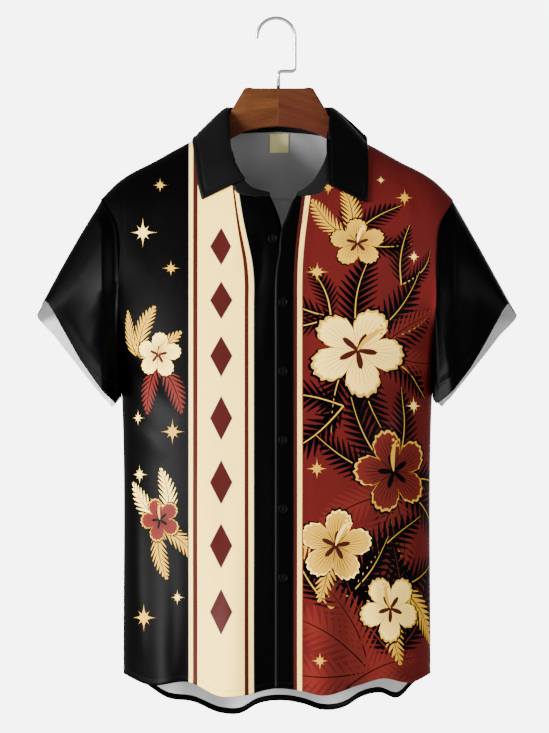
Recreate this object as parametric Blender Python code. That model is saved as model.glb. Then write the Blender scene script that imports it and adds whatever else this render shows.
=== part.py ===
"""A short-sleeved button-front shirt on a wooden hanger with a wire hook.

Sizes are in millimetres and become metres when a mesh is made. The origin is the inner crown of the
hook, where a rail would bear. +X is the viewer's right, the front of the shirt faces -Y, +Z is up.
Left and right in the names are the wearer's, so the left front is on the viewer's right.
"""

import math

import bmesh
import bpy
import numpy as np

MM = 0.001

# Cloth
CLOTH = 1.5
COLLAR_CLOTH = 1.8
SEAM_GAP = 0.3
CENTRE_X = 1.3
NECK_X = 4.0
FRONT, RIDGE, BACK = -1, 0, 1

# Torso: half width by height, height of the shoulder line by distance from the centre
BODY_SIDE = ((-900, 195.5), (-836, 196), (-500, 197.5), (-430, 200.5), (-370, 202.5),
             (-299, 203.5), (-260, 208.5), (-231, 225.5))
SHOULDER_LINE = ((0, -118.5), (40, -124.5), (77, -141.5), (113, -158), (153, -180),
                 (207, -212), (225.5, -231))
SHOULDER_TIP_Z = -231
UNDERARM_Z = -430
BODY_DEPTH = {FRONT: 98, BACK: 90}
ARMHOLE_DEPTH = {FRONT: 80, BACK: 72}
ARMHOLE_RISE, ARMHOLE_POWER = 110, 0.75
SIDE_TURN = 90
ARMHOLE_TURN = 38
ARMHOLE_TURN_RISE = 130
CROWN_REACH = 300
CROWN_POWER = 1.8

FOLD_GROWTH_LIMIT = 1.05

# Soft folds of the body: centre x at the hem, lean, reach, depth (+ is outward), top, face
BODY_FOLDS = (
    (-57, 14, 26, 11, -560, FRONT),
    (62, -10, 24, 10, -590, FRONT),
    (118, -22, 20, -7, -600, FRONT),
    (156, 12, 18, 6, -650, FRONT),
    (-112, 10, 22, -5, -640, FRONT),
    (-150, 20, 18, 5, -560, FRONT),
    (-57, 10, 26, 12, -600, BACK),
    (64, -12, 26, 12, -560, BACK),
    (4, 0, 24, -6, -640, BACK),
    (122, -14, 20, -6, -620, BACK),
    (-125, 14, 20, -6, -600, BACK),
)

# Hems: height at the middle, rise at the side seams, then dips of (x, drop, reach)
FRONT_HEM_Z, FRONT_HEM_RISE = -850, 15
BACK_HEM_Z, BACK_HEM_RISE = -880, 44
SIDE_HEM_Z = -836
HEM_RISE_POWER = {FRONT: 14, BACK: 6}
FRONT_HEM_DIPS = ((-60, 17, 24), (60, 13, 24), (124, -6, 14), (0, 5, 26))
BACK_HEM_DIPS = ((-62, 22, 24), (67, 17, 27), (152, 8, 16), (-148, 6, 16), (8, 2, 30))

# Front edges (height, x) and necklines (out from the neck's centre, height)
LEFT_EDGE = ((-900, -1.3), (-400, -1.3), (-359, -1.3), (-323, 0), (-299, 3.8), (-267, 7.7),
             (-254, 13.4), (-231, 23), (-222, 29.4))
RIGHT_EDGE = ((-900, 19.2), (-440, 19.2), (-380, 19.2), (-330, 16), (-286, 9), (-257, 4.5),
              (-240, -1.5), (-222, -10.2))
FRONT_CORNER_Z = -226
NECKLINE = ((34, -227), (52.3, -223.4), (58.3, -216), (65, -203), (71, -185), (75, -165),
            (77.3, -150))
NECK_HALF_WIDTH = 78
BACK_NECK_DEPTH, BACK_NECK_ROUND = 30, 2.6
NECK_STATIONS = (0, 0.6, 1.2, 1.7, 2.1, 2.5, 3, 3.6, 4.4, 5.3, 6.2, 7, 7.6, 8)
BACK_NECK_COLUMNS = 12
OVERLAP_LIFT, OVERLAP_FLAT, OVERLAP_FADE = 2.1, 24, 22
EDGE_FADE = 3

# Back yoke seam
YOKE_Z, YOKE_DROP, YOKE_DROP_AT = -228.5, 45, 215
YOKE_SEAM_STEPS, YOKE_SEAM_GAP = 8, 0.5

# Collar: (station, out, y, height) of the top of the stand, station 0 at its front end
STAND_TOP = ((0, 22.9, -67, -222), (1, 33, -66, -216.2), (2, 44.8, -62, -206), (3, 52, -57, -194),
             (4, 58, -50, -182), (5, 62.5, -39, -166), (6, 65.2, -26, -145), (7, 66.4, -12, -123),
             (8, 66.5, 0, -115.5), (9, 63, 10.5, -114.8), (10, 52, 19.5, -114.6),
             (11, 30, 26, -114.6), (12, 0, 28.5, -114.6))
SIDE_STATION, BACK_STATION = 8, 12
STAND_RISE = 1.5
RIGHT_FRONT_END, LEFT_FRONT_END = 12.6, 22.9
LEAF_START = 2.0
LEAF_TIP = {-1: (98.7, -230), 1: (112.5, -236)}
LEAF_EDGE = ((3.2, 104, -208, FRONT), (4.4, 106, -190, FRONT), (5.6, 108.5, -172, FRONT),
             (7, 110.5, -158.5, FRONT), (8, 110.5, -152.6, RIDGE), (9, 106, -160, BACK),
             (10, 88, -170, BACK), (11, 50, -174, BACK), (12, 0, -175, BACK))
LEAF_ROLL_OUT, LEAF_ROLL_UP, LEAF_BULGE, LEAF_BEND = 5, 2.0, 1.0, 0.55
LEAF_LIFT, LEAF_CLEAR, LEAF_GAP = 2.3, 2.1, 0.8

# Sleeves
SLEEVE_START = {"top": 1.1, "bottom": 2.1}
SLEEVE_OUTER, SLEEVE_INNER = (304.5, -368.5), (204.5, -489)
SLEEVE_HEM_DEPTH = {FRONT: 44, BACK: 50}
SLEEVE_SHIFT_X, SLEEVE_SHIFT_Z, SLEEVE_SHIFT_Z_OUTER = 6.5, -10, -4
SLEEVE_HEM_SAG = 11
SLEEVE_ROUND = 3.0
SLEEVE_BULGE, SLEEVE_FOLD_GROWTH = 4, 1.3
# Soft folds of a sleeve: angle round from the top in degrees (+ is front), drift, reach, depth
SLEEVE_FOLDS = ((62, 14, 15, 3.5), (100, -10, 16, -4.5), (132, 8, 13, 3), (-70, 10, 16, 4),
                (-112, -8, 16, -4))

# Buttons and label
BUTTON_RADIUS, BUTTON_THICK, BUTTON_RIM, BUTTON_DISH = 6.0, 2.4, 1.3, 0.6
HOLE_RADIUS, HOLE_PITCH, HOLE_SIDES = 0.75, 1.35, 6
BUTTON_SIDES = 16
BUTTON_LIFT, BUTTON_EASE = 0.45, 0.6
BUTTON_X, FIRST_BUTTON_Z, BUTTON_PITCH, LEFT_BUTTONS = 9.1, -362.2, 87.8, 5
TOP_BUTTON = (-4.0, -281.5)
LABEL_WIDTH, LABEL_TOP, LABEL_BOTTOM, LABEL_THICK, LABEL_X = 24, -145, -169, 1.0, 4.0
LABEL_GAP = 0.6

# Hanger: (out, height) of its top and bottom edges
HANGER_X = 3.5
HANGER_TOP = ((0, -87.7), (38, -87.7), (44.5, -88.8), (50, -95.5), (58, -108.5), (66.5, -123),
              (70.5, -132), (74, -140.5), (77, -146), (90, -152.5), (230, -230))
HANGER_BOTTOM = ((0, -136.8), (22.5, -138.9), (45, -144.5), (63, -153.5), (113, -183),
                 (153, -204), (205, -234))
HANGER_HALF_THICK, HANGER_ROUND, HANGER_END = 7, 4, 204
HANGER_CLEAR, ARM_START = 1.45, 70
# Sections of one half of the wood by distance from its middle, then (inset from the end, share of
# the full section) where the end is rounded off
HANGER_SECTIONS = (0, 12, 24, 34, 40, 44.5, 48, 52, 56, 60, 64, 68, 72, 76, 80, 86, 95, 110, 128,
                   148, 168, 186, 196)
HANGER_END_SECTIONS = ((4, 0.88), (1, 0.62))
WIRE, HOOK_RADIUS, HOOK_BEND = 4.5, 24.3, 4.5
HOOK_SHOULDER_Z, SHANK_X, SHANK_TOP, SHANK_END = -66, 3.1, -87.7, -112
BORE_CLEAR, BORE_RUN_OUT = 0.35, 20
WIRE_SIDES = 12

# Colours: (red, green, blue) linear, roughness, metallic
BLACK_CLOTH = ((0.006, 0.006, 0.006), 0.55, 0.0)
RED_CLOTH = ((0.13, 0.012, 0.010), 0.6, 0.0)
CREAM_CLOTH = ((0.80, 0.72, 0.52), 0.7, 0.0)
BUTTON_BLACK = ((0.008, 0.008, 0.008), 0.3, 0.0)
MAHOGANY = ((0.18, 0.055, 0.025), 0.35, 0.0)
STEEL = ((0.62, 0.62, 0.63), 0.22, 1.0)


def curve(at, rows, column=1):
    """Smooth curve through rows whose first column is the position, rising."""
    table = np.array(rows, float)
    p, v = table[:, 0], table[:, column]
    slope = np.gradient(v, p)
    at = np.clip(at, p[0], p[-1])
    k = np.clip(np.searchsorted(p, at) - 1, 0, len(p) - 2)
    step = p[k + 1] - p[k]
    t = (at - p[k]) / step
    ends = (2 * t**3 - 3 * t**2 + 1) * v[k] + (3 * t**2 - 2 * t**3) * v[k + 1]
    return ends + step * ((t**3 - 2 * t**2 + t) * slope[k] + (t**3 - t**2) * slope[k + 1])


def smoothstep(value):
    """Ease from 0 to 1 as the value goes from 0 to 1."""
    t = np.clip(value, 0, 1)
    return t * t * (3 - 2 * t)


def bump(at, centre, reach):
    """A soft bump of height 1."""
    return np.exp(-(((at - centre) / reach) ** 2))


def evenly(points, count):
    """The points of a polyline again, evenly spaced along it."""
    points = np.asarray(points, float)
    run = np.concatenate([[0], np.cumsum(np.linalg.norm(np.diff(points, axis=0), axis=1))])
    want = np.linspace(0, run[-1], count)
    return np.stack([np.interp(want, run, column) for column in points.T], axis=-1)


# The body of the shirt as one surface


def body_side(z):
    """Half width of the body at this height."""
    return curve(z, BODY_SIDE)


def shoulder_line(x):
    """Height of the shoulder line, where front and back meet."""
    return curve(np.abs(x - CENTRE_X), SHOULDER_LINE)


def side_angle(z):
    """How far round the body the side seam or armhole lies, in radians."""
    turn = ARMHOLE_TURN * smoothstep((z - UNDERARM_Z) / ARMHOLE_TURN_RISE)
    return np.radians(SIDE_TURN - turn)


def angle_of(x, z):
    """The angle round the body of a point seen from the front."""
    across = (x - CENTRE_X) / body_side(z) * np.sin(side_angle(z))
    return np.arcsin(np.clip(across, -1, 1))


def x_of(angle, z):
    """The x of a point at this angle round the body."""
    return CENTRE_X + body_side(z) * np.sin(angle) / np.sin(side_angle(z))


def crown(drop):
    """Share of the full depth that the body has this far below the shoulder line."""
    left = 1 - np.clip(drop / CROWN_REACH, 0, 1)
    return (1 - left**CROWN_POWER) ** (1 / CROWN_POWER)


def fold_depth(x, z, face):
    """How far the soft folds stand out of the body."""
    total = np.zeros(np.broadcast(x, z).shape)
    for at, lean, reach, depth, top, side in BODY_FOLDS:
        if side == face:
            fall = np.clip((top - z) / (top - BACK_HEM_Z), 0, FOLD_GROWTH_LIMIT)
            total = total + depth * smoothstep(fall) * bump(x, at + lean * (1 - fall), reach)
    return total


def body_depth(angle, z, face):
    """Distance of the body's mid surface from the plane of the hanger."""
    closing = np.clip((z - UNDERARM_Z) / ARMHOLE_RISE, 0, 1)
    armhole = ARMHOLE_DEPTH[face] * (1 - (1 - closing) ** 2) ** ARMHOLE_POWER
    turn = side_angle(z)
    share = (np.cos(angle) - np.cos(turn)) / (1 - np.cos(turn))
    x = x_of(angle, z)
    full = armhole + (BODY_DEPTH[face] - armhole) * share
    return full * crown(np.maximum(shoulder_line(x) - z, 0)) + share * fold_depth(x, z, face)


def body_points(angle, z, face, lift=0.0):
    """Points of the body's mid surface, moved out by the lift."""
    y = face * (body_depth(angle, z, face) + SEAM_GAP / 2 + lift)
    return np.stack(np.broadcast_arrays(x_of(angle, z), y, z), axis=-1)


def body_y(x, z, face):
    """The y of the body's mid surface over a point of the view from the front."""
    return body_points(angle_of(x, z), z, face)[..., 1]


def hem_z(x, face):
    """Height of the hem, with its curve up at the side seams and its dips."""
    middle, rise = (FRONT_HEM_Z, FRONT_HEM_RISE) if face == FRONT else (BACK_HEM_Z, BACK_HEM_RISE)
    across = np.clip(np.abs(x - CENTRE_X) / BODY_SIDE[0][1], 0, 1)
    z = middle + rise * across ** HEM_RISE_POWER[face]
    for at, drop, reach in FRONT_HEM_DIPS if face == FRONT else BACK_HEM_DIPS:
        z = z - drop * bump(x, at, reach)
    return z


def neck_seam_z(x):
    """Height of the back neck seam, an arc in plan that is laid on the body."""
    out = np.abs(np.clip((x - NECK_X) / NECK_HALF_WIDTH, -1, 1))
    arc = (1 - out**BACK_NECK_ROUND) ** (1 / BACK_NECK_ROUND)
    share = BACK_NECK_DEPTH * arc / BODY_DEPTH[BACK]
    drop = CROWN_REACH * (1 - (1 - share**CROWN_POWER) ** (1 / CROWN_POWER))
    return shoulder_line(x) - drop


def back_neck_arc(turn):
    """Points (x, y) of the back neck seam in plan as the turn goes from +X to -X."""
    c, s = np.cos(turn), np.sin(turn)
    x = NECK_X + NECK_HALF_WIDTH * np.sign(c) * np.abs(c) ** (2 / BACK_NECK_ROUND)
    return x, BACK_NECK_DEPTH * np.abs(s) ** (2 / BACK_NECK_ROUND)


def overlap_lift(x, z):
    """How far the left front stands out over the right one, fading away from its edge."""
    inward = np.abs(x - curve(z, LEFT_EDGE)) - OVERLAP_FLAT
    return OVERLAP_LIFT * (1 - smoothstep(inward / OVERLAP_FADE))


def front_y(x, z, side):
    """The mid surface of the front on this side of the opening."""
    return body_y(x, z, FRONT) - (overlap_lift(x, z) if side > 0 else 0)


def yoke_seam_z(share):
    """Height of the yoke seam on the columns at these shares of the side angle."""
    z = np.full(np.shape(share), float(YOKE_Z))
    for _ in range(YOKE_SEAM_STEPS):
        out = x_of(share * side_angle(z), z) - CENTRE_X
        z = YOKE_Z - YOKE_DROP * (out / YOKE_DROP_AT) ** 2
    return z


# Meshes


def normals_of(grid, ring=False):
    """Unit normals of a grid of points; a ring closes on itself across its columns."""
    if ring:
        wide = np.concatenate([grid[:, -1:], grid, grid[:, :1]], axis=1)
        across = np.gradient(wide, axis=1)[:, 1:-1]
    else:
        across = np.gradient(grid, axis=1)
    up = np.gradient(grid, axis=0)
    n = np.cross(across, up)
    return n / np.maximum(np.linalg.norm(n, axis=-1, keepdims=True), 1e-9)


def wall(grid, thick, ring=False, flat=None):
    """Vertices and faces of a closed wall of even thickness round a grid of mid points.

    Columns run so that columns x rows points out; flat marks points on a seam plane of constant y.
    """
    n = normals_of(grid, ring)
    if flat is not None:
        n[flat, 1] = 0
        n = n / np.linalg.norm(n, axis=-1, keepdims=True)
    rows, columns = grid.shape[:2]
    outer = grid + n * thick / 2
    inner = grid - n * thick / 2
    vertices = np.concatenate([outer.reshape(-1, 3), inner.reshape(-1, 3)])
    index = np.arange(rows * columns).reshape(rows, columns)
    if ring:
        index = np.concatenate([index, index[:, :1]], axis=1)
    back = index + rows * columns
    a, b, c, d = index[:-1, :-1], index[:-1, 1:], index[1:, 1:], index[1:, :-1]
    e, f, g, h = back[:-1, :-1], back[:-1, 1:], back[1:, 1:], back[1:, :-1]
    sheets = [np.stack([a, b, c, d], -1).reshape(-1, 4), np.stack([e, h, g, f], -1).reshape(-1, 4)]
    low, high = index[0], index[-1]
    under, over = back[0], back[-1]
    sheets.append(np.stack([low[1:], low[:-1], under[:-1], under[1:]], -1))
    sheets.append(np.stack([high[:-1], high[1:], over[1:], over[:-1]], -1))
    if not ring:
        left, right = index[:, 0], index[:, -1]
        lback, rback = back[:, 0], back[:, -1]
        sheets.append(np.stack([left[:-1], left[1:], lback[1:], lback[:-1]], -1))
        sheets.append(np.stack([right[1:], right[:-1], rback[:-1], rback[1:]], -1))
    return vertices, np.concatenate(sheets)


def material(name, look):
    """A Principled material from a colour, a roughness and a metallic value."""
    colour, roughness, metallic = look
    made = bpy.data.materials.new(name)
    made.use_nodes = True
    shader = made.node_tree.nodes["Principled BSDF"]
    shader.inputs["Base Color"].default_value = (*colour, 1)
    shader.inputs["Roughness"].default_value = roughness
    shader.inputs["Metallic"].default_value = metallic
    return made


def add_object(name, vertices, faces, look):
    """A mesh object from points in millimetres."""
    mesh = bpy.data.meshes.new(name)
    corners = [tuple(int(i) for i in face) for face in faces]
    mesh.from_pydata((np.asarray(vertices) * MM).tolist(), [], corners)
    mesh.validate()
    mesh.shade_smooth()
    mesh.materials.append(material(name + "_finish", look))
    made = bpy.data.objects.new(name, mesh)
    bpy.context.scene.collection.objects.link(made)
    return made


def patch(bottom, top, left, right, s, t):
    """A grid filled in from four edge curves: bottom and top by s, left and right by t.

    The bow of the left edge fades away quickly across the grid, that of the right edge slowly.
    """
    s, t = s[None, :, None], t[:, None, None]
    left_bow = left[:, None] - ((1 - t) * left[0] + t * left[-1])
    right_bow = right[:, None] - ((1 - t) * right[0] + t * right[-1])
    return (1 - t) * bottom[None] + t * top[None] + (1 - s) ** EDGE_FADE * left_bow + s * right_bow


# Fronts


def front_edge(side):
    """The rows (height, x) of the front edge on this side of the opening."""
    return LEFT_EDGE if side > 0 else RIGHT_EDGE


def front_rows(lower=11, upper=13, crowding=2.2):
    """Share of the height of each row: even to the underarm, then closer towards the shoulder."""
    underarm = (UNDERARM_Z - hem_z(BODY_SIDE[0][1], FRONT)) / (
        SHOULDER_TIP_Z - hem_z(BODY_SIDE[0][1], FRONT))
    low = np.linspace(0, underarm, lower + 1)
    high = 1 - (1 - underarm) * np.linspace(1, 0, upper + 1) ** crowding
    return np.concatenate([low, high[1:]])


def neckline_at(side, station):
    """The front neckline at these stations, 0 at the front edge and 8 at the shoulder."""
    rows = [(curve(FRONT_CORNER_Z, front_edge(side)), FRONT_CORNER_Z)]
    rows += [(NECK_X + side * out, z) for out, z in NECKLINE]
    end_x = NECK_X + side * NECK_HALF_WIDTH
    rows = [(k, *row) for k, row in enumerate([*rows, (end_x, shoulder_line(end_x))])]
    x, z = curve(station, rows), curve(station, rows, 2)
    return np.stack([x, front_y(x, z, side), z], -1)


def front_panel(name, side, look, ridge_columns=7):
    """One front, from its edge to the side seam: side is +1 on the viewer's right."""
    t = front_rows()
    edge = front_edge(side)
    bottom_z = hem_z(curve(hem_z(0, FRONT), edge), FRONT)
    left_z = bottom_z + t * (FRONT_CORNER_Z - bottom_z)
    left_x = curve(left_z, edge)
    side_z = hem_z(CENTRE_X + side * BODY_SIDE[0][1], FRONT)
    right_z = side_z + t * (SHOULDER_TIP_Z - side_z)
    right = np.stack([side * side_angle(right_z), right_z], -1)
    left = np.stack([angle_of(left_x, left_z), left_z], -1)
    neck = neckline_at(side, np.array(NECK_STATIONS))[:, ::2]
    tip_x = CENTRE_X + side * body_side(SHOULDER_TIP_Z)
    ridge_x = np.linspace(neck[-1, 0], tip_x, ridge_columns + 1)
    ridge = np.stack([ridge_x, shoulder_line(ridge_x)], -1)
    rim = np.concatenate([neck, ridge[1:]])
    top = np.stack([angle_of(rim[:, 0], rim[:, 1]), rim[:, 1]], -1)
    s = np.linspace(0, 1, len(rim))
    bottom_angle = left[0, 0] + s * (right[0, 0] - left[0, 0])
    bottom = np.stack([bottom_angle, hem_z(x_of(bottom_angle, side_z), FRONT)], -1)
    bottom[0], bottom[-1], left[-1], right[-1] = left[0], right[0], top[0], top[-1]
    flat = patch(bottom, top, left, right, s, t)
    angle, z = flat[..., 0], flat[..., 1]
    lift = overlap_lift(x_of(angle, z), z) if side > 0 else 0
    grid = body_points(angle, z, FRONT, lift)
    seam = np.zeros(z.shape, bool)
    seam[-1, len(neck) - 1:] = True
    seam[right_z <= UNDERARM_Z, -1] = True
    grid[seam, 1] = -SEAM_GAP / 2
    if side < 0:
        grid, seam = grid[:, ::-1], seam[:, ::-1]
    return add_object(name, *wall(grid, CLOTH, flat=seam), look)


# Back


def back_shares(shoulder_columns):
    """Share of the half angle of each column, so that two columns meet the ends of the neck."""
    turn = side_angle(SHOULDER_TIP_Z)
    arc_x = back_neck_arc(np.linspace(math.pi, 0, BACK_NECK_COLUMNS + 1))[0]
    neck = angle_of(arc_x, SHOULDER_TIP_Z) / turn
    return np.concatenate([
        np.linspace(-1, neck[0], shoulder_columns + 1),
        neck[1:],
        np.linspace(neck[-1], 1, shoulder_columns + 1)[1:],
    ])


def yoke_grid(rows=9, crowding=2.2, shoulder_columns=7):
    """Mid points of the yoke and a mark on those of its shoulder seams."""
    s = back_shares(shoulder_columns)
    turn = side_angle(SHOULDER_TIP_Z)
    x = x_of(s * turn, SHOULDER_TIP_Z)
    neck = np.abs(x - NECK_X) < NECK_HALF_WIDTH - 1
    top = np.where(neck, neck_seam_z(x), shoulder_line(x))
    low = yoke_seam_z(s) + YOKE_SEAM_GAP / 2
    t = 1 - np.linspace(1, 0, rows + 1)[:, None] ** crowding
    z = low + t * (top - low)
    grid = body_points(s * side_angle(z), z, BACK)
    seam = np.zeros(z.shape, bool)
    seam[-1] = ~neck
    grid[seam, 1] = SEAM_GAP / 2
    return grid, seam


def back_yoke():
    """The yoke over the shoulder blades."""
    grid, seam = yoke_grid()
    return add_object("back_yoke", *wall(grid[:, ::-1], CLOTH, flat=seam[:, ::-1]), BLACK_CLOTH)


def back_panel(columns=26, lower=13, upper=7):
    """The back from the yoke seam to its curved hem."""
    s = np.linspace(-1, 1, columns + 1)
    hem = hem_z(x_of(s * side_angle(SIDE_HEM_Z), SIDE_HEM_Z), BACK)
    seam_z = yoke_seam_z(s) - YOKE_SEAM_GAP / 2
    t_low = np.linspace(0, 1, lower + 1)[:, None]
    t_high = np.linspace(0, 1, upper + 1)[1:, None]
    z = np.concatenate([hem + t_low * (UNDERARM_Z - hem), UNDERARM_Z + t_high * (seam_z - UNDERARM_Z)])
    grid = body_points(s * side_angle(z), z, BACK)
    seam = np.zeros(z.shape, bool)
    seam[: lower + 1, 0] = seam[: lower + 1, -1] = True
    grid[seam, 1] = SEAM_GAP / 2
    return add_object("back_panel", *wall(grid[:, ::-1], CLOTH, flat=seam[:, ::-1]), BLACK_CLOTH)


# Sleeves


def armhole_ring(side, half):
    """The armhole from the shoulder tip down the front, to the underarm and up the back."""
    z = UNDERARM_Z + (SHOULDER_TIP_Z - UNDERARM_Z) * np.linspace(1, 0, 200)
    halves = [evenly(body_points(side * side_angle(z), z, face), half + 1) for face in (FRONT, BACK)]
    for points in halves:
        points[0, 1] = points[-1, 1] = 0
    return np.concatenate([halves[0][:-1], halves[1][::-1][:-1]])


def hem_ring(side, count):
    """The sleeve's hem, a flattened ring whose back lies further down the arm than its front."""
    turn = np.linspace(0, 2 * math.pi, count, endpoint=False)
    c, s = np.cos(turn), np.sin(turn)
    c = np.sign(c) * np.abs(c) ** (2 / SLEEVE_ROUND)
    s = np.sign(s) * np.abs(s) ** (2 / SLEEVE_ROUND)
    middle = (np.array(SLEEVE_OUTER) + SLEEVE_INNER) / 2
    reach = (np.array(SLEEVE_OUTER) - SLEEVE_INNER) / 2
    down = np.array([reach[1], -reach[0]]) / np.hypot(*reach)
    sag = SLEEVE_HEM_SAG * (1 - c**2) * (s > 0)
    x = middle[0] + reach[0] * c - SLEEVE_SHIFT_X * s + sag * down[0]
    z = middle[1] + reach[1] * c - (SLEEVE_SHIFT_Z + SLEEVE_SHIFT_Z_OUTER * c) * s + sag * down[1]
    y = -np.where(s > 0, SLEEVE_HEM_DEPTH[FRONT], SLEEVE_HEM_DEPTH[BACK]) * s
    return np.stack([CENTRE_X + side * x, y, z], -1)


def sleeve(name, side, half=13, rows=11):
    """A short sleeve, open at the armhole and at the hem."""
    start = armhole_ring(side, half)
    turn = np.linspace(0, 2 * math.pi, 2 * half, endpoint=False)
    low = (1 - np.cos(turn)) / 2
    start[:, 0] += side * (SLEEVE_START["top"] * (1 - low) + SLEEVE_START["bottom"] * low)
    end = hem_ring(side, 2 * half)
    t = np.linspace(0, 1, rows + 1)[:, None]
    grid = (1 - t)[..., None] * start + t[..., None] * end
    n = normals_of(grid, ring=True)
    n = n * (np.sign((n * (grid - grid.mean(axis=1, keepdims=True))).sum(-1).mean()))
    front = np.degrees(np.where(turn > math.pi, turn - 2 * math.pi, turn))
    relief = SLEEVE_BULGE * np.sin(math.pi * t) * (1 - low)
    for at, drift, reach, depth in SLEEVE_FOLDS:
        relief = relief + depth * smoothstep(t * SLEEVE_FOLD_GROWTH) * bump(front, at + drift * t, reach)
    grid = grid + n * relief[..., None]
    if side > 0:
        grid = grid[:, ::-1]
    return add_object(name, *wall(grid, CLOTH, ring=True), BLACK_CLOTH)


# Collar


def stand_edges(side, stations):
    """The stand's lower and upper edges at these stations of one half, 0 being its front end."""
    end = LEFT_FRONT_END if side > 0 else RIGHT_FRONT_END
    top_rows = [(0, end, *STAND_TOP[0][2:]), *STAND_TOP[1:]]
    low_front = neckline_at(side, np.minimum(stations, SIDE_STATION))
    round_back = (stations - SIDE_STATION) / (BACK_STATION - SIDE_STATION)
    turn = np.clip(round_back, 0, 1) * math.pi / 2
    arc_x, arc_y = back_neck_arc(turn)
    arc_x = NECK_X + side * (arc_x - NECK_X)
    low_back = np.stack([arc_x, arc_y, neck_seam_z(arc_x)], -1)
    low = np.where((stations > SIDE_STATION)[:, None], low_back, low_front)
    top = np.stack([NECK_X + side * curve(stations, top_rows), curve(stations, top_rows, 2),
                    curve(stations, top_rows, 3)], -1)
    return low, top


def across_edge(edge, towards):
    """Unit vectors square to an edge line, on the side that the given vectors point to."""
    along = np.gradient(edge, axis=0)
    along = along / np.linalg.norm(along, axis=1, keepdims=True)
    square = towards - along * (towards * along).sum(axis=1, keepdims=True)
    return square / np.linalg.norm(square, axis=1, keepdims=True)


def collar_stand(rows=2):
    """The band that stands up from the neck seam."""
    back = np.linspace(SIDE_STATION, BACK_STATION, BACK_NECK_COLUMNS // 2 + 1)
    stations = np.concatenate([NECK_STATIONS, back[1:]])
    halves = [stand_edges(side, stations) for side in (-1, 1)]
    low = np.concatenate([halves[0][0], halves[1][0][::-1][1:]])
    top = np.concatenate([halves[0][1], halves[1][1][::-1][1:]])
    low = low + across_edge(low, top - low) * STAND_RISE
    t = np.linspace(0, 1, rows + 1)[:, None, None]
    grid = (1 - t) * low + t * top
    return add_object("collar_stand", *wall(grid[:, ::-1], CLOTH), BLACK_CLOTH)


def leaf_edge(side, stations):
    """The free edge of the leaf, lying just clear of the body."""
    rows = [(LEAF_START, *LEAF_TIP[side], FRONT), *LEAF_EDGE]
    x = NECK_X + side * curve(stations, rows)
    z = curve(stations, rows, 2)
    return np.stack([x, np.zeros_like(x), z], -1)


def clear_of_body(points, stations, side):
    """Push points of the leaf out to where they clear the body."""
    x, y, z = points[..., 0], points[..., 1], points[..., 2]
    for face in (FRONT, BACK):
        on_face = stations < SIDE_STATION if face == FRONT else stations > SIDE_STATION
        lift = overlap_lift(x, z) if face == FRONT and side > 0 else 0
        need = face * (np.abs(body_y(x, z - LEAF_LIFT, face)) + LEAF_CLEAR + lift)
        need = np.where(shoulder_line(x) > z - LEAF_LIFT, need, y)
        out = np.maximum(y, need) if face == BACK else np.minimum(y, need)
        y = np.where(on_face, out, y)
    return np.stack([x, y, z], -1)


def leaf_half(side, stations, rows):
    """Mid points of half the leaf, rolled over from the top of the stand down to its free edge."""
    low, top = stand_edges(side, stations)
    edge = clear_of_body(leaf_edge(side, stations), stations, side)
    up = across_edge(top, top - low)
    out = edge - top
    out = out - up * (out * up).sum(axis=1, keepdims=True)
    out = across_edge(top, out)
    start = top + up * (LEAF_GAP + COLLAR_CLOTH / 2)
    first = start + out * LEAF_ROLL_OUT + up * LEAF_ROLL_UP
    second = (1 - LEAF_BEND) * start + LEAF_BEND * edge + (up + out) * LEAF_BULGE
    t = np.linspace(0, 1, rows + 1)[:, None, None]
    grid = ((1 - t) ** 3 * start + 3 * t * (1 - t) ** 2 * first + 3 * t**2 * (1 - t) * second
            + t**3 * edge)
    return clear_of_body(grid, np.broadcast_to(stations, grid.shape[:2]), side)


def collar_leaf(per_half=24, rows=8):
    """The part of the collar that is folded down."""
    stations = np.linspace(LEAF_START, BACK_STATION, per_half + 1)
    right, left = (leaf_half(side, stations, rows) for side in (-1, 1))
    grid = np.concatenate([right, left[:, ::-1][:, 1:]], axis=1)
    return add_object("collar_leaf", *wall(grid, COLLAR_CLOTH), BLACK_CLOTH)


# Buttons and label


def lathe(profile, sides, place):
    """A closed turned body; the profile of (radius, y) starts and ends on its axis.

    The place is an origin and three unit vectors for the body's own x, y and z.
    """
    turn = np.linspace(0, 2 * math.pi, sides, endpoint=False)
    local = [(0, profile[0][1], 0)]
    for radius, y in profile[1:-1]:
        local.extend((radius * math.cos(a), y, radius * math.sin(a)) for a in turn)
    local.append((0, profile[-1][1], 0))
    origin, axes = place
    vertices = origin + np.array(local, float) @ axes
    last = len(vertices) - 1
    faces = []
    for i in range(sides):
        j = (i + 1) % sides
        faces.append((0, 1 + i, 1 + j))
        for ring in range(len(profile) - 3):
            base = 1 + ring * sides
            faces.append((base + i, base + sides + i, base + sides + j, base + j))
        faces.append((last, last - sides + j, last - sides + i))
    return vertices, faces


def cut_out(target, cutters):
    """Cut bodies out of a target and keep the cutters as hidden wires."""
    for number, cutter in enumerate(cutters):
        cutter.hide_render = True
        cutter.display_type = "WIRE"
        cut = target.modifiers.new(f"cut_{number}", "BOOLEAN")
        cut.operation = "DIFFERENCE"
        cut.solver = "EXACT"
        cut.object = cutter


def button_place(x, z, side):
    """Where a button's back lies on a front: its origin and its own axes, +y into the cloth."""
    step = BUTTON_RADIUS
    across = np.array([2 * step, front_y(x + step, z, side) - front_y(x - step, z, side), 0])
    upward = np.array([0, front_y(x, z + step, side) - front_y(x, z - step, side), 2 * step])
    inward = np.cross(upward, across)
    inward = inward / np.linalg.norm(inward)
    across = across / np.linalg.norm(across)
    axes = np.array([across, inward, np.cross(across, inward)])
    origin = np.array([x, front_y(x, z, side), z]) - inward * (CLOTH / 2 + BUTTON_LIFT)
    return origin, axes


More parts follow.
